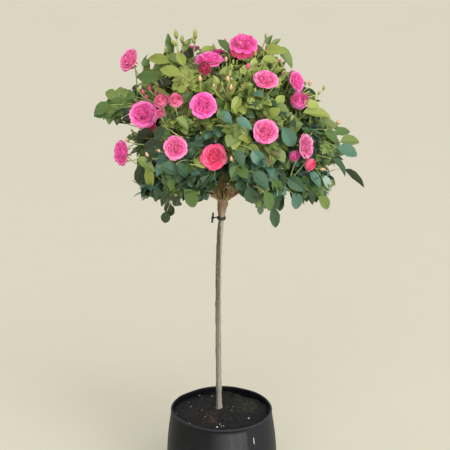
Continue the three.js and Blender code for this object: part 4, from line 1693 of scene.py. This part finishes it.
# ---- leaf, flower and bud patterns


class Pattern:
    """A small piece to be copied, made of closed shells. Each face's shade chooses its material."""

    def __init__(self):
        self.points, self.faces, self.shades = [], [], []

    def put(self, point):
        self.points.append(point)
        return len(self.points) - 1

    def add(self, shade, face):
        if len(set(face)) == len(face):
            self.faces.append(tuple(face))
            self.shades.append(shade)

    def add_rings(self, shade, rings):
        points, faces = ringed(rings)
        base = len(self.points)
        self.points += points
        for face in faces:
            self.add(shade, [base + i for i in face])

    def mesh(self, name, flat_limit=50):
        """The finished mesh, sharp where shades meet or it bends by more than the limit in degrees."""
        mesh = bpy.data.meshes.new(name)
        mesh.from_pydata([tuple(p) for p in self.points], [], self.faces)
        mesh.attributes.new("shade", "INT", "FACE").data.foreach_set("value", self.shades)
        mesh.validate()
        mesh.shade_smooth()
        bm = bmesh.new()
        bm.from_mesh(mesh)
        layer = bm.faces.layers.int["shade"]
        bmesh.ops.recalc_face_normals(bm, faces=bm.faces)
        for edge in bm.edges:
            linked = edge.link_faces
            if len(linked) == 2:
                borders = linked[0][layer] != linked[1][layer]
                edge.smooth = not borders and edge.calc_face_angle(0.0) < radians(flat_limit)
        bm.to_mesh(mesh)
        bm.free()
        return mesh


# share of a leaflet's length and of its half width at each row across it
LEAFLET_ROWS = ((0.17, 0.74), (0.46, 1.0), (0.78, 0.6))
UPPER, UNDER, RIB = 0, 1, 2


def add_leaflet(piece, length, width, place, fold=0.3, arch=0.18, wave=0.0, teeth=0.09):
    """Adds one leaflet, a thin closed shell along +Y from the origin of place, with a raised pale rib."""
    thick, rib_rise, rib_half = 0.014 * length, 0.004 * length, 0.035

    def put(u, t, drop=0.0):
        half = u * width / 2
        rise = abs(half) * fold - arch * length * t * t
        rise += wave * width * sin(t * 9 + (1.7 if u > 0 else 0)) * abs(u)
        return piece.put(place @ Vector((half, length * t, rise - drop)))

    start, tip = put(0, 0), put(0, 1)
    rows = [(start,) * 5]
    for t, w in LEAFLET_ROWS:
        rib = rib_half * (1 - t)
        ribs = (-rib, t, -rib_rise), (rib, t, -rib_rise)
        rows.append([put(*spot) for spot in ((-w, t), *ribs, (w, t), (0, t, thick))])
    rows.append((tip,) * 5)
    spots = [(0.0, 0.0), *LEAFLET_ROWS, (1.0, 0.0)]
    for k in range(1, len(rows)):
        (t0, w0), (t1, w1) = spots[k - 1], spots[k]
        t, w = t0 * 0.3 + t1 * 0.7, w0 * 0.3 + w1 * 0.7 + teeth
        low, high = rows[k - 1], rows[k]
        for edge, rib, sign in ((0, 1, -1), (3, 2, 1)):
            corner = put(sign * w, t)
            for middle, shade, turned in ((rib, UPPER, sign), (4, UNDER, -sign)):
                piece.add(shade, (low[middle], low[edge], corner)[::turned])
                piece.add(shade, (low[middle], corner, high[middle])[::turned])
                piece.add(shade, (high[middle], corner, high[edge])[::turned])
        piece.add(RIB, (low[1], low[2], high[2]))
        piece.add(RIB, (low[1], high[2], high[1]))


def add_sepal(piece, shade, turn, foot, tilt, length, width, **form):
    """Adds a leaflet of one shade, that leaves a foot beside the axis and tilts up."""
    tilted = Euler((tilt, 0, 0)).to_matrix().to_4x4()
    place = Matrix.Rotation(turn, 4, "Z") @ Matrix.Translation(foot) @ tilted
    before = len(piece.shades)
    add_leaflet(piece, length, width, place, **form)
    piece.shades[before:] = [shade] * (len(piece.shades) - before)


def compound_leaf(name, seed, pairs=2):
    """A leaf of leaflets in pairs on a common stalk, a metre long, along +Y with its upper side to +Z."""
    rand, piece = random.Random(seed), Pattern()
    droop = rand.uniform(0.08, 0.2)

    def spine(t):
        return Vector((0.02 * sin(3 * t + seed), t, -droop * t * t))

    stalk_end = 0.56
    piece.add_rings(RIB, tube([spine(stalk_end * t) for t in (0, 0.5, 1.0)], [0.011, 0.009, 0.007], 4))
    # place along the stalk, turn in degrees, length and width of each leaflet
    leaflets = [(stalk_end, 0, 0.46, 0.36)]
    for pair in range(pairs):
        along, grow = 0.46 - 0.2 * pair, 0.4 - 0.06 * pair
        for sign in (-1, 1):
            sway = rand.uniform(-0.015, 0.015)
            turn, reach = sign * rand.uniform(56, 76), grow * rand.uniform(0.92, 1.06)
            leaflets.append((along + sway, turn, reach, grow * 0.78))
    for along, turn, reach, width in leaflets:
        tilt = Euler((rand.uniform(-0.25, 0.1), rand.uniform(-0.3, 0.3), -radians(turn)))
        place = Matrix.Translation(spine(along)) @ tilt.to_matrix().to_4x4()
        width *= rand.uniform(0.94, 1.1)
        fold, arch, wave = rand.uniform(0.14, 0.42), rand.uniform(0.06, 0.3), rand.uniform(0.0, 0.05)
        add_leaflet(piece, reach, width, place, fold, arch, wave)
    return piece.mesh(name)


SINGLE_WIDTH = 0.66
# numbers of different compound leaves and single leaflets
LEAF_KINDS, SINGLE_KINDS = 8, 3


def single_leaflet(name, seed):
    """One leaflet a metre long, before it is scaled."""
    rand, piece = random.Random(seed), Pattern()
    fold, arch = rand.uniform(0.25, 0.5), rand.uniform(0.12, 0.3)
    add_leaflet(piece, 1.0, SINGLE_WIDTH, Matrix.Identity(4), fold, arch, wave=0.05)
    return piece.mesh(name)


# the first shade is painted shade in the folds deep in the rosette
FOLD_SHADE, INNER, OUTER, EDGE, SEPAL = range(5)


def add_petal(piece, base, turn, twist, opening, length, width, cup, ruffle, grid, inside):
    """Adds one petal, a thin closed shell. It leaves base, and its angle from the flower's axis goes from the
    first to the second opening."""
    rows, columns = grid
    edge = EDGE if sin(turn * 5 + length * 90) > (0.0 if inside else -0.4) else INNER
    thick = 0.006
    own = Matrix.Rotation(turn, 3, "Z") @ Matrix.Rotation(twist, 3, "Z")
    radial, height = 0.0, 0.0
    inner, outer = [], []
    for r in range(rows + 1):
        v = 1 - (1 - r / rows) ** 1.4
        step = v - (1 - (1 - (r - 1) / rows) ** 1.4 if r else v)
        angle = opening[0] + (opening[1] - opening[0]) * (v - step / 2)
        radial += sin(angle) * length * step
        height += cos(angle) * length * step
        half = width / 2 * (0.34 + 0.66 * sin(min(1.0, v * 1.3) * pi / 2))
        normal = own @ Vector((-cos(angle), 0, sin(angle)))
        inner.append([])
        outer.append([])
        for c in range(columns + 1):
            u = 2 * c / columns - 1
            back = length * (0.2 * u**4 + 0.05 * u * u) * v
            inward = cup * u * u * half + ruffle * width * sin(u * 5.2 + turn * 7) * v * v
            x = radial - sin(angle) * back - cos(angle) * inward
            z = height - cos(angle) * back + sin(angle) * inward
            place = base + own @ Vector((x, u * half, z))
            rim = r in (0, rows) or c in (0, columns)
            inner[-1].append(piece.put(place))
            outer[-1].append(inner[-1][-1] if rim else piece.put(place - normal * thick))
    for r in range(rows):
        # painted shade: the lowest row of each inner petal, deep in the rosette, is painted dark on both sides
        body = FOLD_SHADE if inside and r == 0 else INNER
        for c in range(columns):
            corners = ((r, c), (r, c + 1), (r + 1, c + 1), (r + 1, c))
            piece.add(edge if r == rows - 1 else body, [inner[i][k] for i, k in corners])
            piece.add(body if inside else OUTER, [outer[i][k] for i, k in reversed(corners)])


# petals in each ring, from the outermost: number, distance of the base from the axis, opening at base and
# edge in degrees, length, width, cup
ROSETTE = (
    (12, 0.09, 74, 54, 0.37, 0.27, 0.25),
    (11, 0.10, 58, 34, 0.33, 0.24, 0.35),
)
OPEN_FLOWER = ((9, 0.03, 66, 92, 0.48, 0.44, 0.10), (9, 0.03, 64, 78, 0.45, 0.40, 0.16), *ROSETTE)
BLOWN_FLOWER = ((8, 0.03, 80, 158, 0.60, 0.40, 0.08), (8, 0.03, 68, 112, 0.50, 0.40, 0.12), *ROSETTE)
CUP_FLOWER = (
    (5, 0.04, 80, -10, 0.74, 0.62, 0.45),
    (6, 0.04, 68, -18, 0.70, 0.52, 0.5),
    (7, 0.04, 52, -22, 0.66, 0.42, 0.6),
    (6, 0.03, 34, -28, 0.62, 0.34, 0.7),
    (5, 0.02, 16, -34, 0.60, 0.28, 0.8),
)
GUARD_RINGS = 2
# the same for the petals folded round one of the small centres inside an open flower
QUARTER = (
    (7, 0.03, 44, 10, 0.28, 0.17, 0.5),
    (5, 0.02, 18, -30, 0.27, 0.14, 0.6),
    (3, 0.01, 4, -60, 0.26, 0.12, 0.7),
)
# distance from the axis, turn and lift of each of these centres
QUARTER_PLACES = (
    (0.0, 0.0, 0.05), (0.2, 0.1, 0.0), (0.19, 1.4, 0.01),
    (0.21, 2.6, 0.0), (0.19, 3.8, 0.015), (0.2, 5.1, 0.0),
)


def flower_pattern(name, seed, rings, ruffle):
    """A rosette one metre wide, opening towards +Z, with its calyx at the origin."""
    rand, piece = random.Random(seed), Pattern()

    def add_ring(centre, ring, guard=False):
        number, out, low, high, reach, width, cup = ring
        offset = rand.uniform(0, 6.28)
        for i in range(number):
            turn = offset + 2 * pi * (i + rand.uniform(-0.14, 0.14)) / number
            lean = rand.uniform(-5, 5)
            add_petal(
                piece,
                centre + around(turn, out),
                turn,
                rand.uniform(-0.08, 0.08) if guard else rand.uniform(-0.6, 0.6),
                (radians(low + lean), radians(high + lean + rand.uniform(-6, 6))),
                reach * rand.uniform(0.94, 1.04) * (1.0 if guard else rand.uniform(0.88, 1.06)),
                width * rand.uniform(0.9, 1.12),
                cup * rand.uniform(0.8, 1.2),
                ruffle * rand.uniform(0.4, 1.4),
                (5, 4) if guard else (3, 3),
                not guard,
            )

    for k, ring in enumerate(rings):
        add_ring(UP * (0.03 + 0.004 * k), ring, k < GUARD_RINGS)
        if rings is BLOWN_FLOWER and k == 0:
            piece.shades = [OUTER if shade == INNER else shade for shade in piece.shades]
    for out, turn, lift in QUARTER_PLACES if rings is not CUP_FLOWER else ():
        turn += rand.uniform(-0.35, 0.35)
        centre = around(turn, out, 0.03 + lift + rand.uniform(-0.02, 0.02))
        for ring in QUARTER:
            add_ring(centre, ring)
    hip = tube([UP * z for z in (-0.09, -0.06, -0.02, 0.03, 0.06)], [0.022, 0.05, 0.066, 0.058, 0.03], 8)
    piece.add_rings(SEPAL, hip)
    for i in range(5):
        turn = 2 * pi * i / 5 + 0.3
        add_sepal(piece, SEPAL, turn, (0, 0.045, 0.0), -0.35, 0.26, 0.085, fold=0.2, arch=0.5, teeth=0.02)
    return piece.mesh(name, flat_limit=65)


def bud_pattern(name, seed, open_share):
    """A bud one metre long along +Z: a hip, five sepals and the furled petals between them."""
    rand, piece = random.Random(seed), Pattern()
    heights = (-0.12, 0.0, 0.16, 0.34, 0.52, 0.72, 0.9, 1.0)
    wide = [size + more * open_share for size, more in ((0.23, 0.05), (0.23, 0.07), (0.18, 0.06))]
    rings = []
    for h, r in zip(heights, (0.08, 0.14, 0.2, *wide, 0.1, 0.03)):
        spun = [(a + h * 1.6, r * (1 + 0.07 * sin(3 * a))) for a in circle(8)]
        rings.append([Vector((cos(turn) * bulge, sin(turn) * r, h)) for turn, bulge in spun])
    piece.add_rings(1, rings)
    for k, face in enumerate(piece.faces):
        if sum(piece.points[i].z for i in face) / len(face) < 0.24:
            piece.shades[k] = 0
    for i in range(5):
        turn = 2 * pi * i / 5 + rand.uniform(-0.15, 0.15)
        lean = 0.14 - 0.35 * open_share + rand.uniform(-0.05, 0.08)
        reach = rand.uniform(0.78, 1.05) * (1 - 0.25 * open_share)
        form = {"fold": -0.4, "arch": -0.12, "teeth": 0.0}
        add_sepal(piece, 0, turn, (0, 0.2, 0.1), pi / 2 + lean, reach, 0.24, **form)
    return piece.mesh(name)


def euler_of(run, upper):
    """Euler turn that lays +Y along run and +Z along upper, which is square to run."""
    return Matrix((run.cross(upper), run, upper)).transposed().to_euler()


def plant_patterns(name, rows, patterns, materials, shades_per_tint, size=1.0):
    obj = new_object(name, point_mesh(name, rows))
    tree = planting_tree(name, materials)
    with PatternBox(name + "_pattern", patterns) as collection:
        grow_nodes(obj, tree, patterns=collection, size=size, shades_per_tint=shades_per_tint)
    return obj


def leaf_materials():
    """For each kind of leaf: upper side, underside and rib."""
    found = []
    for name, codes in LEAF_TINTS.items():
        upper, under = (srgb(code) for code in codes)
        rib = tuple((a + b) / 2 for a, b in zip(upper, under))
        for part, colour, roughness, gloss in (
            ("upper", upper, 0.45, 0.42),
            ("under", under, 0.62, 0.25),
            ("rib", rib, 0.5, 0.25),
        ):
            found.append(surface(f"leaf_{name}_{part}", colour, roughness, Specular_IOR_Level=gloss)[0])
    return found


def petal_materials():
    """For each kind of flower: painted shade of the folds, inner side, outer side and edge of the petals, then
    the sepals.
    """
    sepal = surface("sepal_green", srgb("86964c"), 0.55)[0]
    soft = {"Specular_IOR_Level": 0.2, "Sheen_Weight": 0.25, "Sheen_Roughness": 0.4}
    found = []
    for name, codes in PETAL_TINTS.items():
        for part, code in zip(("heart", "inner", "outer", "edge"), codes):
            found.append(surface(f"petal_{name}_{part}", srgb(code), 0.55, **soft)[0])
        found.append(sepal)
    return found


def bud_materials():
    """For each kind of bud: sepals and petals."""
    return [
        surface(f"bud_{name}_{part}", srgb(code), 0.5, Specular_IOR_Level=0.3)[0]
        for name, codes in BUD_TINTS.items()
        for part, code in zip(("sepal", "petal"), codes)
    ]


# ---- operators


class ROSE_OT_stage(Operator):
    """Sets up the camera, the floor and the lamps"""

    bl_idname = "rose.make_stage"
    bl_label = "Stage"

    def execute(self, context):
        stage = context.scene.rose.stage
        camera = bpy.data.cameras.new("camera")
        camera.sensor_width = 36.0
        camera.lens = stage.lens
        camera.clip_end = 60.0
        eye = bpy.data.objects.new("camera", camera)
        eye.location = (stage.aside, -stage.distance, stage.height)
        eye.rotation_euler = (pi / 2 - stage.pitch, 0.0, 0.0)
        context.scene.collection.objects.link(eye)
        context.scene.camera = eye

        sheet = bpy.data.meshes.new("floor")
        sheet.from_pydata([(-14, -8, 0), (14, -8, 0), (14, 20, 0), (-14, 20, 0)], [], [(0, 1, 2, 3)])
        floor = new_object("floor", sheet)
        material, tree, shader = surface("plain_floor", stage.floor, 0.85)
        patches, _ = weather(tree, 1.3, 9.0, 0.35)
        coat(tree, shader, stage.floor, (patches, [min(1.0, c * 1.05) for c in stage.floor]))
        floor.data.materials.append(material)

        day = bpy.data.lights.new("soft_day", "SUN")
        day.angle = radians(70)
        day.energy = stage.key
        day.color = (1.0, 0.985, 0.95)
        low = bpy.data.lights.new("low_lamp", "AREA")
        low.shape = "RECTANGLE"
        low.size, low.size_y = 2.2, 1.5
        low.energy = stage.fill
        for lamp, place, aim in (
            (day, (0.7, -3.0, 2.6), (0, 0, 0.6)),
            (low, (2.8, -4.2, 1.7), (0, 0, 0.7)),
        ):
            obj = bpy.data.objects.new(lamp.name, lamp)
            obj.location = place
            obj.rotation_euler = (Vector(aim) - Vector(place)).to_track_quat("-Z", "Y").to_euler()
            context.scene.collection.objects.link(obj)
        world = bpy.data.worlds.new("soft_sky")
        world.use_nodes = True
        sky = world.node_tree.nodes["Background"]
        sky.inputs["Color"].default_value = (0.98, 0.985, 1.0, 1.0)
        sky.inputs["Strength"].default_value = stage.sky
        context.scene.world = world
        context.scene.view_settings.view_transform = "Standard"
        return {"FINISHED"}


class ROSE_OT_pot(Operator):
    """Makes the black pot with its rolled edge"""

    bl_idname = "rose.make_pot"
    bl_label = "Pot"

    def execute(self, context):
        keep(make_pot(context.scene.rose.pot), "pot_plastic", "pot")
        return {"FINISHED"}


class ROSE_OT_soil(Operator):
    """Makes the soil with its crumbs, white grains and litter"""

    bl_idname = "rose.make_soil"
    bl_label = "Soil"

    def execute(self, context):
        rose = context.scene.rose
        top = make_soil_surface(rose.pot, rose.soil)
        keep(top, "potting_soil", "potting_soil")
        crumb = soil_crumb_finish()
        grain, _, _ = surface("perlite_white", srgb("e6e2d8"), 0.9)
        litter, _, _ = surface("dead_leaf_brown", srgb("46322a"), 0.8)
        lumps = [lump_mesh(f"crumb_{k}", k) for k in range(5)]
        grains = [lump_mesh(f"grain_{k}", k + 20) for k in range(4)]
        flakes = [lump_mesh(f"flake_{k}", k + 40, squash=(2.4, 1.0, 0.28)) for k in range(4)]
        amounts = rose.soil
        crumbs = ("soil_crumbs", lumps, crumb, amounts.crumbs, (0.8, 2.6), 3.0, 0.001, 3)
        keep(scatter_on_soil(top, *crumbs), "potting_soil")
        bits = [mesh.copy() for mesh in grains + flakes]
        keep(place_soil_bits(bits, [grain, litter]), "potting_soil")
        for strewn in (
            ("perlite", grains, grain, amounts.perlite, (0.55, 1.5), 3.0, 0.004, 8),
            ("soil_litter", flakes, litter, amounts.litter, (0.9, 2.6), 0.35, 0.004, 15),
        ):
            keep(scatter_on_soil(top, *strewn), "potting_soil")
        return {"FINISHED"}


class ROSE_OT_stem(Operator):
    """Makes the stem, its head and the first stretch of the boughs, with bark relief"""

    bl_idname = "rose.make_stem"
    bl_label = "Stem"

    def execute(self, context):
        keep(make_stem(context.scene.rose.stem), "bark", "stem", *BOUGH_NODES)
        return {"FINISHED"}


class ROSE_OT_tie(Operator):
    """Makes the soft tie round the stem"""

    bl_idname = "rose.make_tie"
    bl_label = "Tie"

    def execute(self, context):
        keep(make_tie(), "tie_rubber", "stem_tie")
        return {"FINISHED"}


class ROSE_OT_canes(Operator):
    """Grows the shoots and stalks of the crown"""

    bl_idname = "rose.make_canes"
    bl_label = "Shoots"

    def execute(self, context):
        crown = grown_crown()
        materials = [surface(f"shoot_{name}", srgb(code), 0.5)[0] for name, code in CANE_TINTS.items()]
        obj = new_object("shoots", cane_lines(crown))
        grow_nodes(obj, cane_tree(materials), sides=6, girth=1.0)
        obj.data.shade_smooth()
        keep(obj, "young_wood")
        return {"FINISHED"}


class ROSE_OT_leaves(Operator):
    """Hangs the leaves on the shoots, in tiers"""

    bl_idname = "rose.make_leaves"
    bl_label = "Leaves"

    def execute(self, context):
        crown = grown_crown()
        tints = list(LEAF_TINTS)
        materials = leaf_materials()
        rows = []
        for number, leaf in enumerate(crown.leaves):
            width, reach, run = leaf["width"], leaf["length"], leaf["run"]
            kind = LEAF_KINDS + number % SINGLE_KINDS if width else number % LEAF_KINDS
            upper = (leaf["upper"] - run * leaf["upper"].dot(run)).normalized()
            size = (width / SINGLE_WIDTH if width else reach, reach, reach)
            rows.append((leaf["place"], kind, euler_of(run, upper), size, tints.index(leaf["colour"])))
        rows.sort(key=lambda row: row[0].z)
        tiers = ("leaves_low", "leaves_middle", "leaves_upper", "leaves_top")
        share_of_rows = len(rows) // len(tiers) + 1
        for k, name in enumerate(tiers):
            patterns = [compound_leaf(f"{name}_{i}", i, pairs=2 if i % 4 else 1) for i in range(LEAF_KINDS)]
            patterns += [single_leaflet(f"{name}_single_{i}", i) for i in range(SINGLE_KINDS)]
            part = rows[k * share_of_rows : (k + 1) * share_of_rows]
            obj = plant_patterns(name, part, patterns, materials, 3)
            keep(obj, "leaves", *(LEAF_NODES if k == 0 else ()))
        return {"FINISHED"}


class ROSE_OT_flowers(Operator):
    """Sets the open and half-open flowers on their stalks"""

    bl_idname = "rose.make_flowers"
    bl_label = "Flowers"

    def execute(self, context):
        crown = grown_crown()
        tints = list(PETAL_TINTS)
        materials = petal_materials()
        rows = []
        for number, flower in enumerate(crown.flowers):
            direction = flower["direction"]
            spin = Matrix.Rotation(number * 1.9, 3, direction) @ direction.orthogonal().normalized()
            kind = {"open": number % 4, "cup": 4 + number % 2, "blown": 6 + number % 2}[flower["form"]]
            size, tint_number = (flower["width"],) * 3, tints.index(flower["colour"])
            rows.append((flower["place"], kind, euler_of(spin, direction), size, tint_number))
        front = len(FRONT_FLOWERS)
        for name, part in (("flowers_front", rows[:front]), ("flowers_back", rows[front:])):
            patterns = [flower_pattern(f"{name}_open_{i}", i + 1, OPEN_FLOWER, 0.03) for i in range(4)]
            patterns += [flower_pattern(f"{name}_young_{i}", i + 9, CUP_FLOWER, 0.02) for i in range(2)]
            patterns += [flower_pattern(f"{name}_blown_{i}", i + 15, BLOWN_FLOWER, 0.05) for i in range(2)]
            obj = plant_patterns(name, part, patterns, materials, 5, size=context.scene.rose.flower.size)
            keep(obj, "petals", *(FLOWER_NODES if name == "flowers_front" else ()))
        return {"FINISHED"}


class ROSE_OT_buds(Operator):
    """Sets the buds on their stalks"""

    bl_idname = "rose.make_buds"
    bl_label = "Buds"

    def execute(self, context):
        crown = grown_crown()
        tints = list(BUD_TINTS)
        rows = []
        for number, bud in enumerate(crown.buds):
            direction = bud["direction"]
            kind = number % 2 if bud["colour"] == "green" else 2 + number % 2
            turn = euler_of(direction.orthogonal().normalized(), direction)
            rows.append((bud["place"], kind, turn, (bud["width"],) * 3, tints.index(bud["colour"])))
        patterns = [bud_pattern(f"bud_{i}", i, (0.0, 0.1, 0.6, 0.9)[i]) for i in range(4)]
        obj = plant_patterns("buds", rows, patterns, bud_materials(), 2)
        keep(obj, "petals")
        return {"FINISHED"}


OPERATORS = (
    ROSE_OT_stage,
    ROSE_OT_pot,
    ROSE_OT_soil,
    ROSE_OT_stem,
    ROSE_OT_tie,
    ROSE_OT_canes,
    ROSE_OT_leaves,
    ROSE_OT_flowers,
    ROSE_OT_buds,
)


class ROSE_PT_panel(Panel):
    """Lists the steps that make the rose"""

    bl_label = "Potted Standard Rose"
    bl_idname = "ROSE_PT_panel"
    bl_space_type = "VIEW_3D"
    bl_region_type = "UI"
    bl_category = "Rose"

    def draw(self, context):
        for operator in OPERATORS:
            self.layout.operator(operator.bl_idname)


CLASSES = (
    RoseStageSettings,
    RosePotSettings,
    RoseSoilSettings,
    RoseStemSettings,
    RoseCrownSettings,
    RoseFlowerSettings,
    RoseSettings,
    *OPERATORS,
    ROSE_PT_panel,
)


def register():
    for cls in CLASSES:
        bpy.utils.register_class(cls)
    bpy.types.Scene.rose = PointerProperty(type=RoseSettings)


def unregister():
    del bpy.types.Scene.rose
    for cls in reversed(CLASSES):
        bpy.utils.unregister_class(cls)


def main():
    register()
    for operator in OPERATORS:
        group, name = operator.bl_idname.split(".")
        getattr(getattr(bpy.ops, group), name)()


if __name__ == "__main__":
    main()
